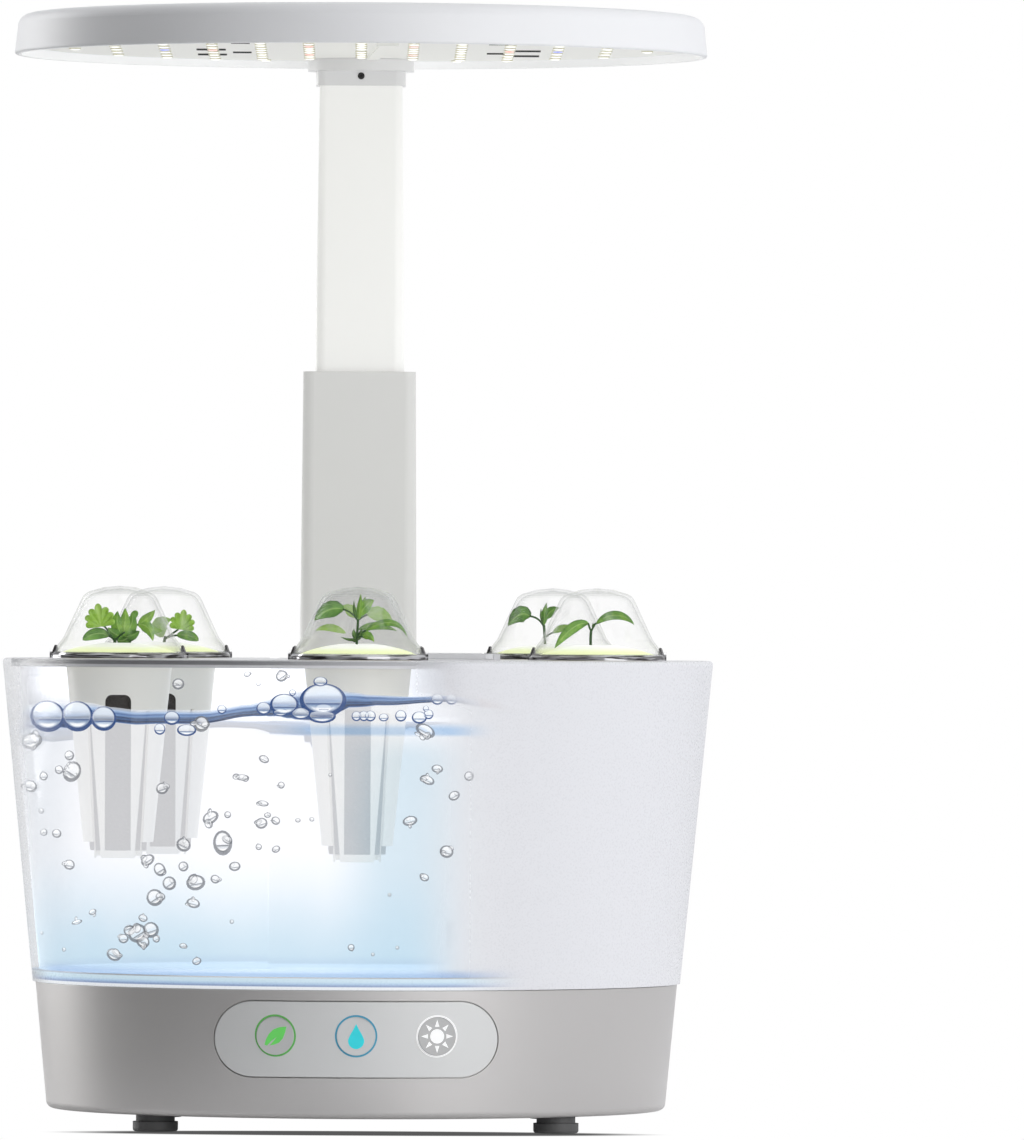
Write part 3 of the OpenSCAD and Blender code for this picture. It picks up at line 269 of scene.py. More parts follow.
# %% [markdown]
# ## Making and keeping pieces
# A new piece is built as a bmesh, which is a mesh held in memory. One function then turns it into an
# object: smooth up to a chosen angle, with its finish, riding on the body it moves with. The others make
# the forms that come back: a block, an outline spun round an axis, and an arc.
# %% Helpers for pieces


def placed(name, data):
    """A new object of the scene."""
    thing = bpy.data.objects.new(name, data)
    scene.collection.objects.link(thing)
    return thing


def as_object(name, form):
    """Turns a bmesh into an object."""
    mesh = bpy.data.meshes.new(name)
    form.to_mesh(mesh)
    form.free()
    return placed(name, mesh)


def keep(name, form, body, finishes, sharp, slot=None, replaces=None):
    """Turns a bmesh into a piece that rides on a body and may stand for one of the solids."""
    thing = as_object(name, form)
    mesh = thing.data
    mesh.shade_smooth()
    mesh.set_sharp_from_angle(angle=math.radians(sharp))
    for finish in finishes if isinstance(finishes, list) else [finishes]:
        mesh.materials.append(finish.material)
    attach(thing, body)
    slot = SLOT_OF[replaces] if replaces else slot
    if replaces:
        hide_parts(replaces)
    print(f"{name}: {len(mesh.polygons)} faces on {body}")
    return thing


def block(form, size, centre):
    """Adds a box with its middle at centre."""
    made = bmesh.ops.create_cube(form, size=1)["verts"]
    bmesh.ops.scale(form, vec=size, verts=made)
    bmesh.ops.translate(form, vec=centre, verts=made)
    return made


def corners(made):
    """The vertices among what an operator made."""
    return [g for g in made if isinstance(g, bmesh.types.BMVert)]


def spun(points, steps, centre=(0, 0, 0), axis=(0, 0, 1)):
    """A new form: a chain of points turned once round an axis."""
    form = bmesh.new()
    verts = [form.verts.new(point) for point in points]
    edges = [form.edges.new(pair) for pair in zip(verts, verts[1:])]
    bmesh.ops.spin(form, geom=verts + edges, cent=centre, axis=axis, angle=math.tau, steps=steps,
                   use_merge=True, use_duplicate=False, dvec=(0, 0, 0))
    bmesh.ops.remove_doubles(form, verts=form.verts, dist=0.002 * MM)
    bmesh.ops.recalc_face_normals(form, faces=form.faces)
    return form


def arc(cx, cy, r, start, stop, steps):
    """Points of an arc, with its angles in degrees."""
    angles = [math.radians(start + (stop - start) * i / steps) for i in range(steps + 1)]
    return [(cx + r * math.cos(a), cy + r * math.sin(a)) for a in angles]


def middle(node):
    low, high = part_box(node)
    return (low + high) / 2


# %% [markdown]
# ## The bowl: clear on the left, milky on the right
# One moulding changes from clear to white along its width. The shader mixes a transparent shader with
# white gloss, and the share of white follows the Object X coordinate. A facing term keeps the clear wall
# visible where it turns away, as real plastic does. The outer face is told from the inner one by its
# radius, which grows with height at the wall's slope.
# %% The bowl's finish
CLEAR_END = 30 * MM
MILKY_START = 64 * MM
GLOW_X = -41 * MM
GLOW_Z = 104 * MM
GLOW_R = 75 * MM
RIM_R, FOOT_R, WALL_TALL, FOOT_Z = 133.5, 121.7, 121.4, 53.6
WALL_SLOPE = (RIM_R - FOOT_R) / WALL_TALL
WALL_FOOT = (FOOT_R - FOOT_Z * WALL_SLOPE) * MM
bowl = moulded("bowl_clear_white", (0.76, 0.77, 0.80), 0.28, 0.03)
x, y, z = bowl.xyz()
radius = (x * x + y * y) ** 0.5
outer_face = bowl.smooth(radius - z * WALL_SLOPE, WALL_FOOT - 1.6 * MM, WALL_FOOT - 0.9 * MM)
above_water = bowl.fade(z, 156, 164)
milky = bowl.smooth(x + above_water * 0.020, CLEAR_END, MILKY_START)
hidden_side = bowl.smooth(x, MILKY_START - 2 * MM, MILKY_START)
back = bowl.fade(y, 20, 60)
left_haze = bowl.fade(x, -98, -132) * 0.2
turning = bowl.rim_light(0.35)
foot_band = bowl.fade(z, 58.6, 57.8)
clear_cover = left_haze + 0.035 + turning ** 3 * 0.34
clear_cover = clear_cover + foot_band * (0.94 - clear_cover)
front_cover = outer_face * (milky + (1 - milky) * clear_cover) + (1 - outer_face) * hidden_side
bowl.see_through(back + (1 - back) * front_cover)
# The inner back wall glows with painted light, brightest round GLOW_X and GLOW_Z and above the water.
away = ((x - GLOW_X) / GLOW_R) ** 2 + ((z - GLOW_Z) / GLOW_R) ** 2
painted_backlight = back * (0.4 + bowl.smooth(away, 1, 0) * 0.5 + above_water * 0.5)
painted_backlight = painted_backlight * (1 - milky) * (1 - outer_face)
plain = bowl.mix(bowl.noise(9, 3), (0.78, 0.785, 0.815), (0.81, 0.815, 0.845))
# The clear foot band glows in pale and dark blue stripes: painted light and shade along the thick foot.
foot_tone = bowl.ramp(
    bowl.fade(z, 53.8, 58.4), (0, (0.80, 0.83, 0.86)), (0.12, (0.85, 0.90, 0.94)),
    (0.2, (0.10, 0.19, 0.42)), (0.46, (0.34, 0.52, 0.74)), (0.75, (0.55, 0.74, 0.86)),
    (1, (0.58, 0.76, 0.87)))
blue_foot = foot_band * (1 - milky) * (1 - back) * bowl.fade(x, -124, -112)
glowing = bowl.mix(painted_backlight, (0, 0, 0), (1, 1, 1))
bowl.glow(bowl.mix(blue_foot, glowing, foot_tone), 0.8)
bowl.set("Base Color", bowl.mix(blue_foot * 0.7, plain, (0, 0, 0)))

# %% [markdown]
# ## Water with a wave along the wall
# The water is one closed body spun from an outline. Its top rows are then lifted to a wave that is
# highest near the middle of the front. How deep a point lies under the wave is stored as an attribute, so
# the finish can paint the dark lip of the wave wherever the wave goes. Both curves below are read in
# millimetres along the front.
# %% The wave's height along the front
WALL_GAP = 0.35 * MM
BUBBLE_GAP = 2.4 * MM
CALM_Z = 152.5 * MM
CALM_R = 88 * MM
WAVE_WIDTH = 40 * MM
WAVE_TOP = [
    (-135, 159), (-119, 161.5), (-104, 161), (-90, 158.2), (-80, 157), (-57, 157.6), (-40, 159.2),
    (-29, 162), (-20, 165.4), (-12, 167.3), (-3, 164.6), (5, 163.4), (31, 163.4), (50, 161), (80, 155),
    (135, 153)]
WAVE_THICK = [
    (-135, 9), (-104, 9.5), (-91, 5.7), (-74, 5.3), (-40, 4.7), (-30, 7), (-20, 11), (-12, 13), (-3, 6),
    (8, 4), (25, 2.7), (60, 2), (135, 2)]


def along(points, x):
    """A smooth curve through a few points, read at x, all in millimetres."""
    for (x0, y0), (x1, y1) in zip(points, points[1:]):
        if x <= x1:
            share = max(0, (x - x0) / (x1 - x0))
            return y0 + (y1 - y0) * share * share * (3 - 2 * share)
    return points[-1][1]


def wave_at(x, y):
    """Height and lip thickness of the wave at a place, in metres."""
    r = math.hypot(x, y)
    front = max(0, -y / max(r, 1e-6)) ** 0.4
    near_wall = max(0, (r - CALM_R) / WAVE_WIDTH) ** 2
    ripple = math.sin(x * 170 + y * 90) * 0.5 + math.sin(y * 210 - x * 60) * 0.4
    rise = (along(WAVE_TOP, x / MM) * MM - CALM_Z) * front * near_wall
    thick = along(WAVE_THICK, x / MM) * MM
    return CALM_Z + rise + ripple * MM * 0.6, thick


# %% [markdown]
# The outline is spun with stand-in numbers: a side row has radius 1 and its own index as height, and a
# ring of the surface has its share of the radius and a height from TOP_MARK up. Each point is then moved
# to where the wall and the wave want it.
# %% The water body
FLOOR_TOP = 58 * MM
BOWL_WALL = 2.5 * MM
LOW_Z = FLOOR_TOP + WALL_GAP
TOP_MARK = 100
ROWS = [0, 0.03, 0.1, 0.25, 0.4, 0.55, 0.7, 0.8, 0.86, 0.9, 0.925, 0.95, 0.965, 0.98, 0.99, 1]


def inner_radius(z):
    """The bowl's inner radius at a height."""
    return WALL_FOOT + z * WALL_SLOPE - BOWL_WALL


def water_radius(z, angle):
    """The water's radius: close to the wall, and a bubble's depth inside it along the front."""
    front = min(max(-math.sin(angle) * 2, 0), 1)
    return inner_radius(z) - WALL_GAP - BUBBLE_GAP * front


outline = [(0, LOW_Z), (20 * MM, LOW_Z + 0.001 * MM)]
outline += [(1, float(index)) for index in range(len(ROWS))]
outline += [(0.99 - 0.06 * step, float(TOP_MARK + step)) for step in range(16)] + [(0, 2.0 * TOP_MARK)]
water_form = spun([(r, 0, z) for r, z in outline], 240)
for v in water_form.verts:
    share, mark = math.hypot(v.co.x, v.co.y), v.co.z
    if share < 0.5 and mark < 0.9:
        continue
    angle = math.atan2(v.co.y, v.co.x)
    r = water_radius(CALM_Z, angle) * (share if mark > TOP_MARK - 1 else 1)
    z = wave_at(r * math.cos(angle), r * math.sin(angle))[0]
    if mark < TOP_MARK - 1:
        z = LOW_Z + (z - LOW_Z) * ROWS[round(mark)]
        r = water_radius(z, angle)
    v.co = (r * math.cos(angle), r * math.sin(angle), z)
bmesh.ops.recalc_face_normals(water_form, faces=water_form.faces)

# %% [markdown]
# The bowl's back is notched for the mast's column, so the same notch is cut from the water with a Boolean,
# which handles closed bodies well. The Boolean is applied at once and its helper is thrown away.
# %% Cut the notch


def cut_away(form, cutter_form):
    """The form less the cutter, by an exact Boolean."""
    kept, cutter = as_object("kept", form), as_object("cutter", cutter_form)
    cut = kept.modifiers.new("cut", "BOOLEAN")
    cut.operation = "DIFFERENCE"
    cut.object = cutter
    graph = bpy.context.evaluated_depsgraph_get()
    result = bmesh.new()
    result.from_mesh(bpy.data.meshes.new_from_object(kept.evaluated_get(graph)))
    bpy.data.objects.remove(kept)
    bpy.data.objects.remove(cutter)
    return result


SLIP = 1 * MM
PAST_BACK, PAST_FLOOR, PAST_TOP = 0.2, 0.02, 0.22
column_low, column_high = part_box("rear_column")
half_width = column_high.x + SLIP + BOWL_WALL + WALL_GAP
low = Vector((-half_width, column_low.y - SLIP - BOWL_WALL - WALL_GAP, PAST_FLOOR))
high = Vector((half_width, PAST_BACK, PAST_TOP))
notch = bmesh.new()
block(notch, high - low, (low + high) / 2)
water_form = cut_away(water_form, notch)
depth = water_form.verts.layers.float.new("wave_depth")
for v in water_form.verts:
    top, thick = wave_at(v.co.x, v.co.y)
    v[depth] = max(0, (top - v.co.z) / thick)

# %% [markdown]
# Clear water is mostly what it does to the things behind it: a pale veil that is bluer where it is deep.
# Lit water scatters light towards the eye, so the veil is given a glow: painted light that takes little
# shade. The wave's lip is painted dark with light streaks, painted shade and reflections of the surface,
# and a second, fainter painted line shows where the surface meets the far wall.
# %% The water's finish
water = Finish("water", Roughness=0.08, IOR=1.33)
x, _, z = water.xyz()
lip = water.attribute("wave_depth")
streak = water.noise(1.6, 2, stretch=(10, 10, 330))
lip_colour = water.ramp(
    lip + (streak - 0.5) * 0.34, (0, (0.60, 0.72, 0.86)), (0.10, (0.15, 0.30, 0.56)),
    (0.22, (0.36, 0.52, 0.78)), (0.36, (0.06, 0.14, 0.34)), (0.48, (0.15, 0.28, 0.54)),
    (0.62, (0.014, 0.045, 0.13)), (0.74, (0.05, 0.12, 0.28)), (0.84, (0.006, 0.02, 0.07)),
    (0.94, (0.015, 0.05, 0.15)), (1, (0.08, 0.17, 0.38)))
lip_span = water.fade(x, -135, -118) * (1 - water.fade(x, 26, 54))
in_lip = (1 - water.smooth(lip, 0.95, 1.02)) * lip_span
lip_cover = 0.3 + water.smooth(lip, 0, 0.3) * 0.66
far_line = water.fade(z, 146.8, 148.4) * (1 - water.fade(z, 149.6, 152.8))
far_line = far_line * water.fade(x, -40, -12) * (1 - water.fade(x, 32, 55))
cloudy = water.noise(26, 3)
deep = water.fade(z + (cloudy - 0.5) * 0.02, 108, 58)
right_blue = water.fade(x + (cloudy - 0.5) * 0.02, -14, 14) * water.fade(z, 152, 138)
milk = water.fade(x, 17, 46)
left_grey = water.fade(x, -98, -122)
veil = water.mix(left_grey * 0.8, (0.93, 0.935, 0.965), (0.72, 0.76, 0.81))
veil = water.mix(right_blue * 0.85, veil, (0.57, 0.71, 0.80))
veil = water.mix(deep * 0.9, veil, (0.50, 0.69, 0.82))
veil = water.mix(milk, veil, (0.74, 0.755, 0.79))
floor_line = water.fade(z, 62, 58.8) * water.fade(x, -122, -112)
veil = water.mix(floor_line * 0.8, veil, (0.28, 0.42, 0.68))
veil = water.mix(far_line * 0.8, veil, (0.30, 0.50, 0.76))
colour = water.mix(in_lip * lip_cover, veil, lip_colour)
water.set("Base Color", water.mix(0.93, colour, (0, 0, 0)))
water.glow(colour, 1.0)
above_lip = water.smooth(lip, 0.9, 1.0)
cover = 0.62 * above_lip + in_lip * lip_cover * 0.97 + far_line * 0.1 + deep * 0.1 + milk * 0.4
cover = cover * water.fade(x, -131, -114)
water.see_through(water.clamp(cover))
keep("water", water_form, "bowl", water, 60)

# %% [markdown]
# ## Bubbles
# A bubble is a dark ring round a clear middle, because light only bends strongly at its edge. These
# bubbles sit between the wall and the water, so each is a lens that is as flat as that gap and follows
# the wall's curve. How far a point lies from the lens's middle is stored on it, and the finish paints the
# ring from that as painted shade. A second number, the point's height in the lens, places painted shade
# and a painted highlight in the lower half. The bubbles also glow, which is painted light.
# %% Bubble finishes


def bubble_finish(name, ring, glow, fill, ring_start, ring_cover):
    finish = Finish(name, Roughness=0.08)
    out = finish.attribute("out")
    up = finish.attribute("up")
    start = ring_start + up * 0.13
    band = finish.smooth(out, start - 0.06, start + 0.05)
    low = finish.smooth(up, -0.05, -0.3) * (1 - band)
    painted_highlight = finish.smooth(out, 0.35, 0.5) * (1 - finish.smooth(out, 0.6, 0.74))
    painted_highlight = painted_highlight * finish.smooth(up, -0.3, -0.55)
    line = finish.smooth(up, -0.32, -0.22) * (1 - finish.smooth(up, -0.2, -0.1)) * (1 - band)
    tint = finish.mix(low * 0.75, glow, fill)
    tint = finish.mix(line * 0.9, tint, ring)
    tint = finish.mix(painted_highlight, tint, (1, 1, 1))
    tint = finish.mix(band, tint, ring)
    finish.set("Base Color", finish.mix(0.9, tint, (0, 0, 0)))
    finish.glow(tint, 1.0)
    inside = 0.12 + finish.smooth(up, -0.1, 0.5) * 0.38 + low * 0.25
    cover = band * ring_cover + (1 - band) * inside + line * 0.45 + painted_highlight * 0.5
    finish.see_through(finish.clamp(cover))
    return finish


wave_bubble = bubble_finish(
    "wave_bubble", (0.028, 0.07, 0.21), (0.88, 0.93, 0.98), (0.22, 0.37, 0.62), 0.81, 0.95)
small_bubble = bubble_finish(
    "small_bubble", (0.14, 0.15, 0.17), (0.95, 0.96, 0.98), (0.50, 0.54, 0.60), 0.70, 0.56)


# %% Place the bubbles
BUBBLE_IN = 1.35 * MM
BUBBLE_FLOOR = 60


def add_bubble(form, x_mm, z_mm, r_mm, flat, turn, segments, rings):
    """A flat lens in the gap behind the front wall, seen as an ellipse from the front."""
    out, up = form.verts.layers.float["out"], form.verts.layers.float["up"]
    made = bmesh.ops.create_uvsphere(form, u_segments=segments, v_segments=rings, radius=1)["verts"]
    bmesh.ops.rotate(form, matrix=Matrix.Rotation(math.radians(90), 3, "X"), verts=made)
    for v in made:
        v[out], v[up] = math.hypot(v.co.x, v.co.z), v.co.z
    bmesh.ops.scale(form, vec=(r_mm, 1, r_mm * flat), verts=made)
    bmesh.ops.rotate(form, matrix=Matrix.Rotation(turn, 3, "Y"), verts=made)
    depth = min(0.85, r_mm * 0.5) * MM
    for v in made:
        x, z = (x_mm + v.co.x) * MM, (z_mm + v.co.z) * MM
        r = inner_radius(z) - BUBBLE_IN - v.co.y * depth
        v.co = (x, -math.sqrt(max(r * r - x * x, 0)), z)


def bubble_form():
    form = bmesh.new()
    form.verts.layers.float.new("out")
    form.verts.layers.float.new("up")
    return form


# Each bubble is its place along the front and its height, its radius, and how flat it is, in millimetres.
WAVE_BUBBLES = [
    (-115.5, 153.4, 6.9, 0.85), (-104, 153.6, 6.1, 0.93), (-94, 152.9, 4.8, 0.95), (-68.5, 153.4, 3, 0.85),
    (-73, 149.3, 2.1, 1), (-63, 149, 3.6, 0.6), (-50, 156.8, 1.7, 1), (-27, 158.6, 5.3, 0.78),
    (-34.6, 157.2, 2.7, 0.9), (-12.8, 160.4, 8.6, 0.72), (-13.2, 154.6, 5.2, 0.5), (-12.6, 157.4, 3.4, 0.5),
    (-13.8, 167.2, 2.6, 0.7), (-24, 163.2, 1.3, 0.9), (-21, 155.4, 3.6, 0.6), (-28.4, 155.8, 2.8, 0.5),
    (29.2, 161, 2.3, 0.9), (34.4, 161, 2.2, 0.9), (-0.5, 154.6, 1.8, 1), (2.2, 154.7, 1.9, 1),
    (4.6, 154.7, 2, 1), (9.5, 154.2, 1.8, 0.8), (15.8, 154.8, 2.1, 1), (22.6, 154.2, 2.8, 0.8),
    (26, 155.4, 1.8, 1), (25, 157.5, 1.1, 1)]
form = bubble_form()
for x_mm, z_mm, r_mm, flat in WAVE_BUBBLES:
    add_bubble(form, x_mm, z_mm, r_mm, flat, 0, 32, 24)
keep("wave_bubbles", form, "bowl", wave_bubble, 180)

RISING = [
    (-122, 144, 4.6, 0.65), (-106, 133, 3.4, 1.2), (-111, 133.6, 1.7, 1), (-107, 139, 1.9, 1),
    (-117, 131, 1.7, 1), (-122.5, 127, 3, 0.8), (-117, 110, 1.6, 0.9), (-111.9, 109.8, 1.9, 0.9),
    (-107, 98.3, 2.2, 0.9), (-118, 118, 1.1, 1), (-54, 116.9, 3.2, 0.7), (-49.5, 107.6, 3.6, 1.3),
    (-47.7, 118, 1.3, 1), (-64, 106.7, 2.8, 0.9), (-77.3, 100.8, 2.8, 0.7), (-72.8, 97.4, 2.2, 1.2),
    (-45, 99, 2.2, 0.8), (-64, 98.7, 1.9, 1), (-69.2, 92.4, 2.6, 1), (-59.4, 92.8, 3.6, 0.8),
    (-74.6, 87, 3.2, 1), (-60.3, 85.2, 2.6, 0.7), (-52.2, 94.2, 1.8, 0.9), (-79, 79.3, 1.8, 0.8),
    (-81, 73.6, 3.8, 0.9), (-76, 75, 3, 1), (-79, 70.6, 2.6, 0.9), (-86.3, 71.5, 2, 0.9),
    (-74, 71.7, 1.4, 1), (-89.9, 65.4, 2.9, 0.8), (-64, 69.4, 1.5, 0.7), (-58.9, 63.8, 1.8, 0.8),
    (-35.2, 115, 2.3, 0.9), (-30, 116, 1.7, 0.9), (-33, 118, 1.3, 0.8), (-21.8, 116.2, 1, 0.8),
    (-16.7, 116.6, 0.9, 0.9), (-36.2, 106.3, 1.2, 1), (-29.8, 105.5, 1.6, 0.8), (-28, 129.1, 1.3, 1),
    (-34.7, 122.3, 2.2, 0.5), (-42.4, 131.8, 2.6, 0.45), (-34.4, 138.6, 2, 0.7), (-72, 127.4, 2.4, 0.9),
    (-57.6, 151.4, 3, 1), (-66.2, 166, 2.3, 0.9), (-28, 169.2, 2.3, 0.9), (-40.6, 169.8, 1.5, 0.7),
    (-36.5, 166.2, 1.1, 0.7), (24.8, 149.4, 3.9, 0.6), (29.3, 135.4, 2.2, 0.7), (25.7, 131.3, 2.8, 0.6),
    (35.6, 125.5, 2.2, 0.8), (19.4, 116.2, 2.8, 0.65), (32.9, 104.9, 2.6, 0.9), (24.8, 95.4, 1.8, 0.8),
    (-2, 69.5, 1.3, 1), (6, 67, 0.7, 1), (15, 69.5, 0.7, 1), (41, 132.7, 1.8, 1), (-98, 81, 1.6, 0.7),
    (-104, 77, 2.2, 0.4), (-118, 72, 0.8, 1), (-109, 66.5, 0.8, 1), (-46, 78.6, 0.8, 1), (-10, 133, 0.7, 1),
    (12, 89, 0.7, 1)]
chance = random.Random(7)
form = bubble_form()
for x_mm, z_mm, r_mm, flat in RISING:
    add_bubble(form, x_mm, z_mm, r_mm, flat, chance.uniform(-0.6, 0.6), 16, 10)
    for _ in range(int(r_mm * 0.9)):
        lean = chance.uniform(0, math.tau)
        reach, size = r_mm * chance.uniform(0.4, 0.9), r_mm * chance.uniform(0.35, 0.6)
        z_here = max(z_mm + math.sin(lean) * reach, BUBBLE_FLOOR + size)
        add_bubble(form, x_mm + math.cos(lean) * reach, z_here, size, chance.uniform(0.5, 0.9), lean, 14, 8)
keep("rising_bubbles", form, "bowl", small_bubble, 180)

# %% [markdown]
# ## The clear domes
# A dome is thin clear sheet, and the frame's own solid has its exact form, so it only needs a finish.
# Clear sheet is nearly nothing to look at face on, turns grey-white where it curves away, and carries
# soft upright streaks of reflected light, which are painted. The flange at its foot is thick, so it mirrors
# like dark silver, in painted dark and light reflections.
# %% Dome finish
DOME_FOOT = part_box("dome_1")[0].z
dome = Finish("dome_clear", Roughness=0.07, IOR=1.45)
z = dome.xyz()[2] - DOME_FOOT
foot = 1 - dome.fade(z, 1.7, 2.5)
edge_on = dome.rim_light(0.5)
painted_streaks = dome.smooth(dome.noise(1, 1, stretch=(150, 150, 16)), 0.52, 0.68)
ripple = dome.smooth(dome.noise(1, 2, stretch=(90, 90, 1600)), 0.42, 0.6)
flange_reflection = dome.mix(ripple, (0.035, 0.03, 0.035), (0.62, 0.62, 0.64))
sheet = dome.mix(painted_streaks, (0.58, 0.59, 0.60), (0.95, 0.96, 0.97))
dome.set("Base Color", dome.mix(foot, sheet, flange_reflection))
dome.set("Metallic", foot * 0.5)
streak_cover = painted_streaks * 0.10 * dome.fade(z, 5, 11) * (1 - edge_on)
dome_cover = 0.012 + edge_on ** 4 * 0.6 + streak_cover
dome.see_through(dome_cover + foot * (0.86 - dome_cover))
flange_gloss = moulded("flange_gloss", (0.16, 0.155, 0.16), 0.12, 0.02, 1400, 0.7)

# %% [markdown]
# Two small wedges at the foot of each dome give a finger something to hold. Each is made from a cube by
# pulling in its upper edge, and rounded with a bevel.
# %% Lugs
LUG = Vector((3.2, 7, 4.8)) * MM
LUG_IN = 1.65 * MM
LUG_UP = 2.42 * MM
LUG_BEVEL = 0.35 * MM


def lugs(n):
    low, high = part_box(f"dome_{n}")
    centre = middle(f"dome_{n}")
    form = bmesh.new()
    for side in (-1, 1):
        lug = block(form, LUG, (0, 0, 0))
        for v in lug:
            if v.co.z > 0:
                v.co.x = v.co.x * 0.3 - side * 0.6 * MM
        place = (centre.x + side * (high.x - centre.x - LUG_IN), centre.y, low.z + LUG_UP)
        bmesh.ops.translate(form, vec=place, verts=lug)
    bmesh.ops.bevel(form, geom=form.edges[:], offset=LUG_BEVEL, offset_type="OFFSET", segments=2,
                    profile=0.5, affect="EDGES", material=-1)
    keep(f"dome_{n}_lugs", form, f"dome_{n}", flange_gloss, 50, "dome_clear")


for n in PODS:
    lugs(n)

# %% [markdown]
# ## Labels and sponges
# The label is a crowned paper disc, white with a yellow-green edge. The edge colour follows an attribute
# that runs from 0 at the disc's middle to 1 at its rim. The sponge is a tapered plug whose pores are real
# dents in its mesh.
# %% Label and sponge finishes
disc = Finish("label_paper", Roughness=0.7)
fibre = disc.noise(420, 3)
edge_mask = disc.smooth(disc.attribute("rim") + (fibre - 0.5) * 0.06, 0.42, 0.9)
paper = disc.mix(fibre, (0.86, 0.87, 0.84), (0.93, 0.94, 0.90))
colour = disc.mix(edge_mask, paper, (0.80, 0.87, 0.48))
disc.set("Base Color", colour)
# The paper glows a little: painted light.
disc.glow(colour, 0.42)
disc.bump(fibre, 0.1)

foam = Finish("sponge_grey", Roughness=0.95)
pores = foam.node("TexVoronoi", {"Vector": foam.place, "Scale": 900}, "Distance")
crumb = foam.noise(700, 4, 0.7)
foam.set("Base Color", foam.mix(crumb, (0.012, 0.010, 0.009), (0.085, 0.072, 0.06)))
foam.bump(pores + crumb, 0.6, 0.4 * MM)


# %% Labels and sponges
LABEL_THICK = 0.5 * MM
LABEL_HOLE = 5.5 * MM
LABEL_RINGS = 12
SPONGE_TAPER = 0.1008
SPONGE_GAP = 0.1 * MM
SPONGE_ROWS = 34
PORE_DEPTH = 0.05


def label(n):
    low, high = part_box(f"label_{n}")
    centre = middle(f"label_{n}")
    r = (high.x - low.x) / 2
    rise = high.z - low.z - LABEL_THICK
    top = []
    for i in range(LABEL_RINGS + 1):
        radius = LABEL_HOLE + (r - LABEL_HOLE) * i / LABEL_RINGS
        top.append((radius, low.z + LABEL_THICK + rise * (1 - (radius / r) ** 2)))
    outline = top + [(r, low.z)] + [(radius, z - LABEL_THICK) for radius, z in top[::-1]] + top[:1]
    points = [(centre.x + radius, centre.y, z) for radius, z in outline]
    form = spun(points, 72, (centre.x, centre.y, 0))
    rim = form.verts.layers.float.new("rim")
    for v in form.verts:
        v[rim] = min(1, math.hypot(v.co.x - centre.x, v.co.y - centre.y) / r)
    keep(f"label_{n}_paper", form, f"pod_{n}", disc, 40, replaces=f"label_{n}")


def sponge(n):
    low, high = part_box(f"sponge_{n}")
    tall = high.z - low.z
    top_r = (high.x - low.x) / 2 - SPONGE_GAP
    form = bmesh.new()
    bmesh.ops.create_cone(form, cap_ends=True, segments=48, radius1=top_r - tall * SPONGE_TAPER,
                          radius2=top_r, depth=tall)
    sides = [e for e in form.edges if abs(e.verts[0].co.z - e.verts[1].co.z) > 1 * MM]
    bmesh.ops.subdivide_edges(form, edges=sides, cuts=SPONGE_ROWS, use_grid_fill=True)
    chance = random.Random(n)
    for v in form.verts:
        inwards = 1 - chance.random() ** 2 * PORE_DEPTH
        v.co.x *= inwards
        v.co.y *= inwards
    bmesh.ops.smooth_vert(form, verts=form.verts, factor=0.35, use_axis_x=True, use_axis_y=True)
    bmesh.ops.translate(form, vec=middle(f"sponge_{n}"), verts=form.verts)
    piece = keep(f"sponge_{n}_foam", form, f"pod_{n}", foam, 50, replaces=f"sponge_{n}")


for n in PODS:
    label(n)
    sponge(n)

# %% [markdown]
# ## Seedlings
# A blade starts as a flat grid. Its length follows a smooth curve through a few points, its width follows
# an outline, and both halves fold back a little from the middle rib. A lobed leaf is the same grid bent
# into a fan. The grid's own UVs carry the veins, so they stay on the leaf however it bends.
# %% Leaf finish
leaf = Finish("leaf_green", Roughness=0.45)
uv = leaf.node("UVMap", uv_map="UVMap")
u, across = (leaf.node("SeparateXYZ", [uv], letter) for letter in "XY")
off_rib = abs(across - 0.5)
rib = 1 - leaf.smooth(off_rib, 0.02, 0.07)
wave = ((u - off_rib * 0.9) * 42).sine()
side_rib = leaf.smooth(wave, 0.8, 1.0) * 0.5
blotch = leaf.noise(420, 3)
shade = leaf.attribute("pale") + (blotch - 0.5) * 0.6 - leaf.smooth(off_rib, 0.3, 0.5) * 0.1
body_green = leaf.ramp(
    leaf.clamp(shade), (0, (0.022, 0.075, 0.012)), (0.3, (0.10, 0.25, 0.035)), (0.6, (0.27, 0.48, 0.05)),
    (1, (0.40, 0.56, 0.28)))
veins = leaf.clamp(rib + side_rib)
leaf.set("Base Color", leaf.mix(veins * 0.4, body_green, (0.50, 0.68, 0.22)))
# The leaves glow a little: painted light for light that passes through them.
leaf.glow(body_green, 0.22)
leaf.bump(veins + blotch * 0.3, 0.5, 0.3 * MM)


# %% Leaf outlines, as half widths from 0 to 1 along the leaf
def broad(t):
    """Wide near the stalk, with a faintly toothed edge."""
    return math.sin(math.pi * t ** 0.8) ** 0.85 * (1 + 0.04 * math.sin(t * 34))


def lance(t):
    """Narrow, with a long point."""
    return math.sin(math.pi * t ** 0.8) ** 0.9 * (1 - 0.2 * t)


def oval(t):
    """Round at both ends."""
    return math.sin(math.pi * t) ** 0.55


def curve(points, t):
    """A point on the smooth curve that the points steer, from their weighted means."""
    while len(points) > 1:
        points = [a.lerp(b, t) for a, b in zip(points, points[1:])]
    return points[0]


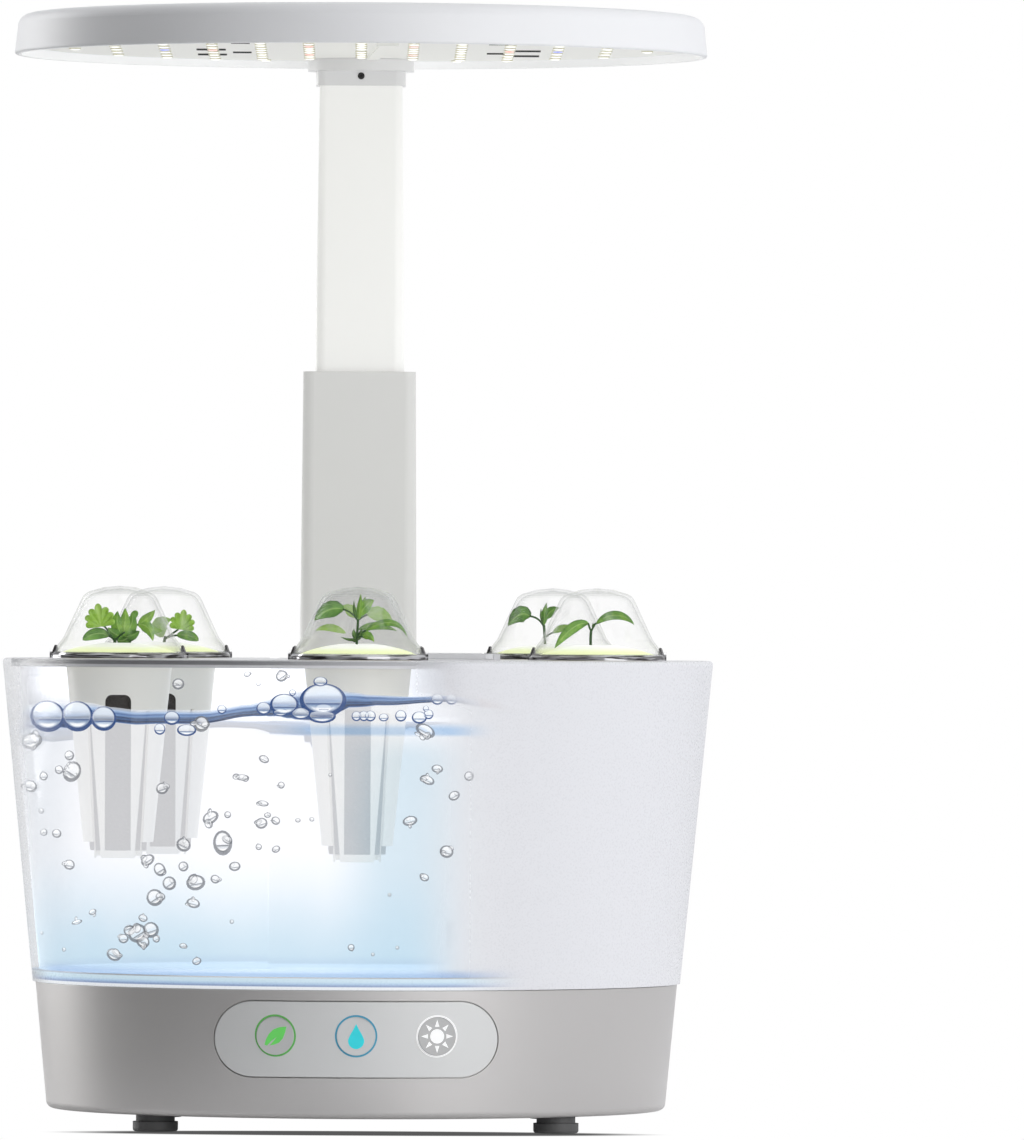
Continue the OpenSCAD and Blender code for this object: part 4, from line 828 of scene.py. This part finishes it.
# %% Stalks and blades
def stalk(form, points, radius, steps=7):
    """A round stalk along a smooth curve: one ring is extruded, moved and turned, step by step."""
    places = [curve(points, i / steps) for i in range(steps + 1)]
    heading = (places[1] - places[0]).normalized()
    first = Matrix.Translation(places[0]) @ heading.to_track_quat("Z", "Y").to_matrix().to_4x4()
    ring = bmesh.ops.create_circle(form, segments=8, radius=radius, cap_ends=False, matrix=first)["verts"]
    edges = list(dict.fromkeys(e for v in ring for e in v.link_edges))
    bmesh.ops.contextual_create(form, geom=edges)
    for before, after in zip(places, places[1:]):
        made = bmesh.ops.extrude_edge_only(form, edges=edges)["geom"]
        ring = corners(made)
        edges = [g for g in made if isinstance(g, bmesh.types.BMEdge)]
        bmesh.ops.translate(form, vec=after - before, verts=ring)
        turned = (after - before).normalized()
        bend = heading.rotation_difference(turned).to_matrix()
        bmesh.ops.rotate(form, cent=after, matrix=bend, verts=ring)
        heading = turned
    bmesh.ops.contextual_create(form, geom=edges)


def spine(base, points, depth):
    """Places round the pod from millimetres seen from the front; the tip comes forward by depth."""
    last = max(len(points) - 1, 1)
    return [base + Vector((x, -depth * i / last, z)) * MM for i, (x, z) in enumerate(points)]


def blade(form, places, width, outline, tilt, tone):
    """A blade along a curve. tilt is how far, in degrees, it turns from facing the front."""
    grid = bmesh.ops.create_grid(form, x_segments=18, y_segments=8, size=0.5, calc_uvs=True)["verts"]
    pale = form.verts.layers.float["pale"]
    angle = math.radians(tilt)
    for v in grid:
        t, side = v.co.x + 0.5, v.co.y * 2
        ahead = curve(places, min(t + 0.02, 1)) - curve(places, max(t - 0.02, 0))
        flat = ahead.cross(Vector((0, 1, 0))).normalized()
        half = outline(min(max(t, 0.0), 1.0)) * width / 2 * MM
        reach = flat * math.cos(angle) + Vector((0, 1, 0)) * math.sin(angle)
        v.co = curve(places, t) + reach * side * half + Vector((0, abs(side) * half * 0.35, 0))
        v[pale] = tone
    bmesh.ops.remove_doubles(form, verts=grid, dist=0.004 * MM)


def fan(form, place, width, height, lean, tone):
    """A leaf of seven round lobes that open upwards from the place where its stalk ends."""
    grid = bmesh.ops.create_grid(form, x_segments=8, y_segments=70, size=0.5, calc_uvs=True)["verts"]
    pale = form.verts.layers.float["pale"]
    turn = Matrix.Rotation(math.radians(lean), 3, "Y")
    for v in grid:
        t, share = v.co.x + 0.5, v.co.y + 0.5
        angle = math.radians(-35 + 250 * share)
        lobe = 0.74 + 0.26 * abs(math.sin(7 * math.pi * share)) ** 0.7
        lobe += 0.16 * math.exp(-((share - 0.5) / 0.06) ** 2)
        x = math.cos(angle) * width / 2 * lobe * t
        z = (0.30 + math.sin(angle) * 0.66 * lobe) * height * t
        cup = 0.7 * t * t + 0.35 * math.cos(14 * math.pi * share) * t * t
        v.co = place + turn @ Vector((x, -cup, z)) * MM
        v[pale] = tone
    bmesh.ops.remove_doubles(form, verts=grid, dist=0.01 * MM)


# %% [markdown]
# Each plant is a short list in millimetres, with x to the right of the pod's axis and z above the label.
# A stalk is its points, its radius and how far its end comes forward. A blade is its points, its width,
# its outline, its tilt, how pale it is and how far its tip comes forward. A fan is its place, its width
# and height, its lean, how pale it is and how far it stands forward.
# %% The plants
LEAF_THICK = 0.22 * MM
PEPPER = {
    "stalks": [
        ([(-0.6, -3), (-0.5, 2), (-0.1, 8.9)], 0.38, 0), ([(-0.3, 8.6), (-2.4, 12), (-5.7, 12.7)], 0.24, 2),
        ([(-0.4, 3), (1.4, 4.4), (2.8, 4.8)], 0.3, 2), ([(-0.4, 2.4), (0.4, 2.8), (1.6, 2.6)], 0.22, 2)],
    "blades": [
        ([(-5.2, 12.6), (-11, 14.4), (-16.2, 8.5)], 6.2, broad, 8, 0.22, 5),
        ([(0.1, 8.8), (0.6, 13), (0.9, 18.6)], 2.6, lance, 20, 0.42, 1),
        ([(0.2, 10), (2.6, 15.2), (5.8, 16)], 4.4, broad, 5, 0.38, 2),
        ([(-0.5, 9), (-1.8, 12), (-1.6, 16)], 1.3, lance, 10, 0.12, 2),
        ([(2.6, 4.6), (8, 8.6), (15.4, 9.8), (18, 2.6)], 3.1, lance, 20, 0.34, 4),
        ([(-0.8, 1.6), (-3.4, 1), (-6.6, 2.6)], 1.1, lance, 20, 0.1, 4),
        ([(1.0, 2.4), (3.6, 4.6), (5.9, 0.7)], 3.2, broad, 10, 0.4, 3),
        ([(-0.6, 1.4), (-1.8, 3.4), (-1.6, 5.4)], 1.9, broad, 30, 0.15, 1),
        ([(-0.4, 1.2), (0.8, 3.0), (1.4, 5.6)], 2.0, broad, 30, 0.12, 2),
        ([(-0.6, 0.8), (-1.6, 1.4), (-3.0, 1.9)], 1.4, broad, 30, 0.08, 2)]}
PALE_PEPPER = {
    "stalks": [
        ([(-0.6, -3), (-0.5, 2), (-0.1, 8.9)], 0.38, 0), ([(0, 8.6), (1.6, 10), (3.4, 10.6)], 0.24, 0)],
    "blades": [
        ([(3.2, 10.5), (7.8, 12.6), (12.9, 8.2)], 5.4, broad, 5, 0.8, 0),
        ([(-4.6, 3.6), (-11, 7.4), (-16, 4.6)], 2.8, broad, 12, 0.7, 0),
        ([(-0.8, 9.4), (-2.4, 13), (-6.2, 14)], 4.2, broad, 5, 0.8, 0),
        ([(0.2, 9), (1.6, 13), (2.6, 17.4)], 3.6, broad, 30, 0.4, 0),
        ([(0, 5), (7, 8), (14.5, 4.6)], 3.6, lance, 30, 0.35, 0)]}
LANCE = {
    "stalks": [
        ([(-2.2, -3), (-2.6, 2), (-2.2, 5.2)], 0.42, 0), ([(-2.2, 5), (-3, 6.4), (-3.3, 7.8)], 0.28, 1),
        ([(-2.2, 5), (-1.4, 6.4), (-0.6, 8)], 0.28, 1)],
    "blades": [
        ([(-3.0, 7.9), (-8.4, 8.8), (-13.4, 2.4), (-16, -1.5)], 4.5, lance, 5, 0.36, 9),
        ([(-0.6, 7.4), (5.2, 13.4), (11.4, 10.8), (13.8, 7.4)], 3.7, lance, 12, 0.36, 3),
        ([(-1.6, 6), (-1.5, 7), (-1.5, 8.2)], 0.9, lance, 10, 0.05, 1)]}
TWIG = {
    "stalks": [
        ([(-2.6, -3), (-2.9, 2), (-3.2, 7)], 0.4, 0), ([(-3.2, 6.2), (-4.8, 10), (-8.7, 10.4)], 0.28, 2),
        ([(-3, 2), (-1.2, 3.8), (0.4, 4.2)], 0.26, 0)],
    "blades": [
        ([(-8.2, 10.2), (-12.6, 13.4), (-16.9, 6.6)], 6.4, broad, 8, 0.18, 4),
        ([(-3.2, 7), (-3.4, 11), (-2.2, 15.6)], 2.8, lance, 10, 0.28, 1),
        ([(-2.8, 9), (-1.4, 13), (2.5, 13.6)], 3.6, broad, 5, 0.26, 2),
        ([(-3.4, 7.6), (-4.6, 10.4), (-4.3, 13.4)], 1.2, lance, 10, 0.1, 1),
        ([(0.2, 4), (3.6, 6.8), (8.4, 6.4)], 3, lance, 20, 0.5, 0)]}
PARSLEY = {
    "stalks": [
        ([(-1.9, -3), (-1.6, 1), (-1.2, 3)], 0.5, 0), ([(-1.8, 0), (-3.4, 4), (-6.2, 6.4)], 0.26, 3),
        ([(-1.6, 0.5), (0.5, 3), (2, 3.6)], 0.26, 2), ([(-1.6, 0.5), (2.6, 4.6), (7, 6.6)], 0.26, 0),
        ([(-1.8, 0.6), (-2.6, 1.8), (-3.8, 2.2)], 0.26, 3)],
    "blades": [
        ([(-3.6, 2.2), (-8.6, 4.8), (-13.6, 0.6)], 4.4, oval, 5, 0.3, 5),
        ([(7, 6.4), (10.4, 8.4), (13.3, 12)], 3.6, broad, 8, 0.5, 1),
        ([(6.8, 6.4), (11.4, 7.4), (12.6, 0.4)], 4.4, broad, 8, 0.42, 3),
        ([(8.6, 5.2), (12.6, 4.4), (16.2, 4.2)], 3, broad, 8, 0.5, 2),
        ([(-0.8, 0.6), (2.4, -0.4), (5.8, 4.4)], 4.6, broad, 12, 0.15, 1),
        ([(4, 8.2), (6, 10.6), (6.4, 11.8)], 2.6, oval, 10, 0.3, 0),
        ([(-3.4, 6.8), (-4, 8), (-2.6, 9.4)], 2.6, oval, 10, 0.15, 1),
        ([(1.4, 2.4), (-1.8, 5.4), (-0.6, 11.6)], 5.2, broad, 10, 0.4, 3),
        ([(1.6, 2.2), (5.2, 5.2), (5, 11.4)], 5, broad, 12, 0.34, 3),
        ([(1.4, 2), (2.2, 6), (2.2, 12.8)], 4.6, broad, 15, 0.46, 4),
        ([(1.2, 2), (-2, 2.4), (-4.2, 5.4)], 4.2, broad, 12, 0.3, 3),
        ([(1.8, 2), (5, 2), (7.6, 4.2)], 4, broad, 12, 0.24, 3)],
    "fans": [
        ((-6.9, 5.7), 11.4, 8.2, -8, 0.62, 4)]}
CRESS = {
    "stalks": [
        ([(0, -3), (0, 0.5), (0.6, 2)], 0.45, 0), ([(0.4, 1), (3, 3), (5.4, 4.6)], 0.26, 0),
        ([(0.4, 1), (2.8, 2.4), (5, 2.4)], 0.26, 3)],
    "blades": [
        ([(4.8, 2.3), (9.4, 3.4), (13.2, 0.4)], 3.8, oval, 5, 0.32, 5),
        ([(-0.4, 1.6), (-4, 7.6), (2.8, 8.4)], 6.4, broad, 10, 0.85, 0)],
    "fans": [
        ((6.6, 4.6), 9.8, 7.2, 8, 0.62, 3)]}
PLANTS = {1: PEPPER, 2: LANCE, 3: TWIG, 4: CRESS, 5: PARSLEY, 6: PALE_PEPPER}


def seedling(n):
    plant = PLANTS[n]
    base = middle(f"label_{n}").copy()
    base.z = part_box(f"label_{n}")[1].z
    form = bmesh.new()
    form.loops.layers.uv.new("UVMap")
    form.verts.layers.float.new("pale")
    for points, radius, depth in plant["stalks"]:
        stalk(form, spine(base, points, depth), radius * MM)
    for points, width, outline, tilt, tone, depth in plant["blades"]:
        blade(form, spine(base, points, depth), width, outline, tilt, tone)
    for (x, z), width, height, lean, tone, depth in plant.get("fans", ()):
        fan(form, base + Vector((x, -depth, z)) * MM, width, height, lean, tone)
    thing = keep(f"seedling_{n}_leaves", form, f"pod_{n}", leaf, 180, replaces=f"seedling_{n}")
    thick = thing.modifiers.new("thickness", "SOLIDIFY")
    thick.thickness = LEAF_THICK
    thick.offset = 0


for n in PODS:
    seedling(n)

# %% [markdown]
# ## The light board
# Each diode is a small ceramic package with a soft lens that glows. The frame already holds every diode,
# so their places are read from the frame's own mesh: each loose island of it is one diode.
# %% Diodes


def islands(node):
    """Centres of the separate solids in one node."""
    form = bmesh.new()
    form.from_mesh(NODES[node].data)
    bmesh.ops.remove_doubles(form, verts=form.verts, dist=0.01 * MM)
    todo, centres = set(form.verts), []
    while todo:
        group, waiting = set(), [next(iter(todo))]
        while waiting:
            v = waiting.pop()
            if v not in group:
                group.add(v)
                waiting.extend(e.other_vert(v) for e in v.link_edges)
        todo -= group
        xs, ys = [v.co.x for v in group], [v.co.y for v in group]
        centres.append(((min(xs) + max(xs)) / 2, (min(ys) + max(ys)) / 2))
    form.free()
    return sorted((round(x, 6), round(y, 6)) for x, y in centres)


def lit(name, colour, strength):
    finish = Finish(name, Roughness=0.3)
    hot = finish.noise(500, 1)
    finish.set("Base Color", finish.mix(hot, colour, (1, 1, 1)))
    finish.glow(finish.mix(hot * 0.3, colour, (1, 1, 1)), strength)
    return finish


led_package = lit("led_package", (0.62, 0.60, 0.36), 0.05)
led_white = lit("led_white", (1.0, 0.98, 0.84), 0.75)
led_red = lit("led_red", (1.0, 0.34, 0.28), 0.7)
led_blue = lit("led_blue", (0.10, 0.14, 0.95), 0.8)


PACKAGE = Vector((4.4, 3.4, 0.5)) * MM
PACKAGE_SINK = 0.26 * MM
LENS_R = 1.5 * MM


def diodes(node, finish):
    form = bmesh.new()
    for x, y in islands(node):
        block(form, PACKAGE, (x, y, BOARD_UNDER - PACKAGE_SINK))
        lens = bmesh.ops.create_uvsphere(form, u_segments=12, v_segments=6, radius=LENS_R)["verts"]
        for v in lens:
            for face in v.link_faces:
                face.material_index = 1
        bmesh.ops.scale(form, vec=(1.2, 1, 0.3), verts=lens)
        bmesh.ops.translate(form, vec=(x, y, BOARD_UNDER - PACKAGE.z), verts=lens)
    keep(node + "_lit", form, "light_mast", [led_package, finish], 40, replaces=node)


diodes("white_leds", led_white)
diodes("red_leds", led_red)
diodes("blue_leds", led_blue)

# %% [markdown]
# Between the diodes sit the chips that steady their current: small dark frames with pale middles,
# soldered in pairs. A frame is a grid of one face, inset, with the inner face taken out and the rest
# given a thickness. Each is its place and its width and depth, in millimetres.
# %% Chips on the board
chip_ink = moulded("chip_ink", (0.06, 0.06, 0.06), 0.5)
CHIPS = [(-56.5, y, 11, 6) for y in (-76, 4, 52)] + [(-45, y, 7, 4) for y in (-60, 30)]
CHIPS += [(62, y, 11, 6) for y in (-76, 4, 52)] + [(51, y, 7, 4) for y in (-60, 30)]
CHIP_GAP, CHIP_FRAME, CHIP_THICK = 0.02 * MM, 0.8 * MM, 0.45 * MM
form = bmesh.new()
for x, y, w, d in CHIPS:
    grid = bmesh.ops.create_grid(form, x_segments=1, y_segments=1, size=0.5)["verts"]
    face = grid[0].link_faces[0]
    bmesh.ops.scale(form, vec=(w * MM, d * MM, 1), verts=grid)
    bmesh.ops.translate(form, vec=(x * MM, y * MM, BOARD_UNDER - CHIP_GAP), verts=grid)
    rim = bmesh.ops.inset_region(form, faces=[face], thickness=CHIP_FRAME, use_boundary=True)["faces"]
    bmesh.ops.delete(form, geom=[face], context="FACES_ONLY")
    made = bmesh.ops.extrude_face_region(form, geom=rim)["geom"]
    bmesh.ops.translate(form, vec=(0, 0, -CHIP_THICK), verts=corners(made))
bmesh.ops.recalc_face_normals(form, faces=form.faces)
keep("board_chips", form, "light_mast", chip_ink, 30)

# %% [markdown]
# ## Printed symbols on the panel
# Two buttons and the lens between them carry a ring and a simple sign: a leaf, a drop and a sun. Each
# sign is a flat outline with a little thickness, laid on the face that it belongs to and turned with it.
# %% Ink
def ink(name, colour, glow=0.1):
    """Printed ink: one colour, a little denser in places, with a faint glow of the light behind it."""
    finish = Finish(name, Roughness=0.45)
    density = finish.noise(300, 2)
    tint = finish.mix(density, [channel * 0.86 for channel in colour], colour)
    finish.set("Base Color", tint)
    finish.glow(tint, glow)
    return finish


leaf_ink = ink("leaf_ink", (0.17, 0.78, 0.15))
leaf_ring_ink = ink("leaf_ring_ink", (0.12, 0.46, 0.10))
drop_ink = ink("drop_ink", (0.03, 0.74, 0.82))
drop_ring_ink = ink("drop_ring_ink", (0.06, 0.33, 0.50))
sun_ink = ink("sun_ink", (0.95, 0.95, 0.95), 0.25)


# %% Signs
def flat_sign(outlines, thick, scale):
    """Outlines in the X Z plane, filled and given a thickness towards -Y."""
    form = bmesh.new()
    for outline in outlines:
        face = form.faces.new([form.verts.new((x * scale * MM, 0, z * scale * MM)) for x, z in outline])
        made = bmesh.ops.extrude_face_region(form, geom=[face])["geom"]
        bmesh.ops.translate(form, vec=(0, -thick, 0), verts=corners(made))
    bmesh.ops.recalc_face_normals(form, faces=form.faces)
    return form


def ring_form(outer, inner, thick):
    """A flat ring in the X Z plane, in front of Y = 0."""
    section = ((outer, 0), (outer, -thick), (inner, -thick), (inner, 0), (outer, 0))
    return spun([(r * MM, y, 0) for r, y in section], 96, axis=(0, 1, 0))


LEAF_SIGN = [
    (-3.4, -2.9), (-2.9, -1.1), (-2.0, 0.5), (-0.6, 1.9), (1.2, 2.6), (3.7, 2.9), (3.2, 0.9), (2.5, -0.9),
    (1.3, -2.2), (-0.4, -2.9), (-1.8, -3.1), (-0.7, -2.0), (0.6, -0.4), (-1.2, -1.7), (-2.6, -3.2)]
DROP_SIGN = [(0, 4.1), (0.9, 2.3), (1.9, 0.6), (2.6, -0.9)] + arc(0, -1.6, 2.7, 10, -190, 14)
DROP_SIGN += [(-1.9, 0.6), (-0.9, 2.3)]
SUN_SIGN = [arc(0, 0, 2.35, 0, 345, 23)]
for k in range(8):
    turn = Matrix.Rotation(k * math.tau / 8, 2)
    SUN_SIGN.append([tuple(turn @ Vector(p)) for p in ((0, 5.4), (-0.75, 3.1), (0.75, 3.1))])


def on_face(form, node):
    """Turns a flat sign with its button and lays it on the button's outer face."""
    low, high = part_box(node)
    angle = TURN[node]
    reach = max(v.co.x * math.sin(angle) - v.co.y * math.cos(angle) for v in NODES[node].data.vertices)
    bmesh.ops.translate(form, vec=(0, -reach, (low.z + high.z) / 2), verts=form.verts)
    bmesh.ops.rotate(form, matrix=Matrix.Rotation(angle, 3, "Z"), verts=form.verts)
    return form


def on_panel(form, node):
    """Lays a flat ring round a button on the panel's curved, slightly sloping face."""
    centre_z = middle(node).z
    for v in form.verts:
        z = centre_z + v.co.z
        r = PANEL_R + (z - centre_z) * BASE_SLOPE - v.co.y
        angle = TURN[node] + v.co.x / PANEL_R
        v.co = (r * math.sin(angle), -r * math.cos(angle), z)
    return form


press = next(j for j in frame["joints"] if j["name"] == "light_button_press")
BUTTON_ANGLE = math.atan2(-press["axis"][0], press["axis"][1])
TURN = {"food_button": -BUTTON_ANGLE, "water_lens": 0, "light_button": BUTTON_ANGLE}
PANEL_R = -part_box("water_lens")[0].y - 0.1 * MM
BASE_FLARE, BASE_TALL = 4.2, 47.4
BASE_SLOPE = BASE_FLARE / BASE_TALL
PRINT = 0.06 * MM
RING_OUTER, RING_INNER = 7.8, 7.13
for node, body, outlines, scale, sign_ink, ring_ink in (
        ("food_button", "food_button", [LEAF_SIGN], 1.17, leaf_ink, leaf_ring_ink),
        ("water_lens", "base", [DROP_SIGN], 1.1, drop_ink, drop_ring_ink),
        ("light_button", "light_button", SUN_SIGN, 1.13, sun_ink, sun_ink)):
    keep(node + "_sign", on_face(flat_sign(outlines, PRINT, scale), node), body, sign_ink, 30)
    ring = ring_form(RING_OUTER, RING_INNER, PRINT)
    keep(node + "_ring", on_panel(ring, node), "base", ring_ink, 30)

# %% [markdown]
# ## Every other solid keeps its own mesh
# The frame's meshes carry normals of their own, so they shade smoothly as they are. Each only needs the
# finish that the record names for it.
# %% Paint the solids
OWN_FINISH = {"light_button": "sun_field", "hood_hub": "hub_white"}
for node, solid in NODES.items():
    solid.data.materials.clear()
    finish = FINISHES[OWN_FINISH.get(node, SLOT_OF[node])]
    solid.data.materials.append(finish.material)
print("painted", len(NODES), "solids")

# %% [markdown]
# ## Studio
# The background is white to the camera but gentler to the object, and dark towards its left front, so
# white plastic still shows its shape.
# %% Surroundings
DARK_SIDE = (-0.87, -0.5, 0)
scene.view_settings.view_transform = "Standard"
studio = Finish("studio", world=True, Color=(1, 1, 1), Strength=1.0)
scene.world = studio.material
towards = studio.node("VectorMath", [studio.place, DARK_SIDE], "Value", operation="DOT_PRODUCT")
around = studio.node("Background", [(0.97, 0.98, 1), studio.smooth(towards, -0.35, 0.75, 0.88, 0.05)])
studio.show(studio.node("LightPath", output="Is Camera Ray"), around, studio.surface)
print("surroundings dark towards", DARK_SIDE)

# %% [markdown]
# The floor is a wide disc. The camera sees it as white paper with a soft painted contact shadow under the
# feet, and the object gets light from it, which is weaker on the dark side.
# %% Floor
FLOOR_R = 6.0
FLOOR_DARK = (-0.985, -0.17)
PAINTED_SHADOW_Y = -0.087
PAINTED_SHADOW_HALF = (0.113, 0.025)
floor_form = bmesh.new()
bmesh.ops.create_circle(floor_form, cap_ends=True, segments=96, radius=FLOOR_R)
floor = as_object("floor", floor_form)
ground = Finish("paper_floor", Roughness=0.9, Specular_IOR_Level=0.0)
x, y, z = ground.xyz()
dark_side = ground.smooth(x * FLOOR_DARK[0] + y * FLOOR_DARK[1], 0.06, 0.26)
paper = ground.mix(ground.noise(3, 2), (0.86, 0.86, 0.87), (0.88, 0.88, 0.89))
ground.set("Base Color", ground.mix(dark_side, paper, (0.36, 0.36, 0.36)))
ground.glow(ground.mix(dark_side, (1, 1, 1), (0.4, 0.4, 0.4)), 0.12)
# The painted contact shadow: an ellipse in front of the feet that only the camera sees, darker inside.
spread = (x / PAINTED_SHADOW_HALF[0]) ** 2 + ((y - PAINTED_SHADOW_Y) / PAINTED_SHADOW_HALF[1]) ** 2
unshaded = ground.smooth(spread, 0.55, 1.1)
sheet_white = ground.node("Emission", [ground.mix(unshaded, (0.1, 0.1, 0.1), (1, 1, 1)), 1.0])
ground.show(ground.node("LightPath", output="Is Camera Ray"), ground.surface, sheet_white)
floor.data.materials.append(ground.material)

# %% [markdown]
# Two large soft boxes stand left and right, with weak ones in front and above. That leaves the front of
# the masts and hood a quiet grey and draws bright edges down the sides.
# %% Lights
AIM_Z = 0.2


def soft_box(name, place, width, height, power):
    data = bpy.data.lights.new(name, "AREA")
    data.shape = "RECTANGLE"
    data.size, data.size_y = width, height
    data.energy = power
    thing = placed(name, data)
    thing.location = place
    aim = Vector((0, 0, AIM_Z)) - Vector(place)
    thing.rotation_euler = aim.to_track_quat("-Z", "Y").to_euler()
    print(name, "at", place, "with", power, "W")


soft_box("left_box", (-1.25, 0.95, 0.55), 0.9, 1.4, 17)
soft_box("right_box", (0.95, -1.45, 0.50), 1.2, 1.3, 9)
soft_box("front_box", (0.9, -2.4, 0.9), 1.2, 1.0, 2.5)
soft_box("top_box", (0.1, -0.2, 1.8), 1.6, 1.6, 3)

# %% [markdown]
# ## Camera
# A long lens far away keeps the object's sides nearly parallel. The camera stands straight in front of
# the axis and is turned a little to the right, which puts the object left of the picture's middle.
# %% Camera
LENS_MM = 448.9
STAND = (0, -5.346, 0.196)
AIM = Vector((0.0577, 0, 0.2089))
ROLL = math.radians(0.3)
camera_data = bpy.data.cameras.new("camera")
camera_data.lens = LENS_MM
camera_data.sensor_width = 36
camera_data.clip_end = 50
camera = placed("camera", camera_data)
camera.location = STAND
look = (AIM - camera.location).to_track_quat("-Z", "Y").to_matrix() @ Matrix.Rotation(ROLL, 3, "Z")
camera.rotation_euler = look.to_euler()
scene.camera = camera

# %% Update the scene
bpy.context.view_layer.update()
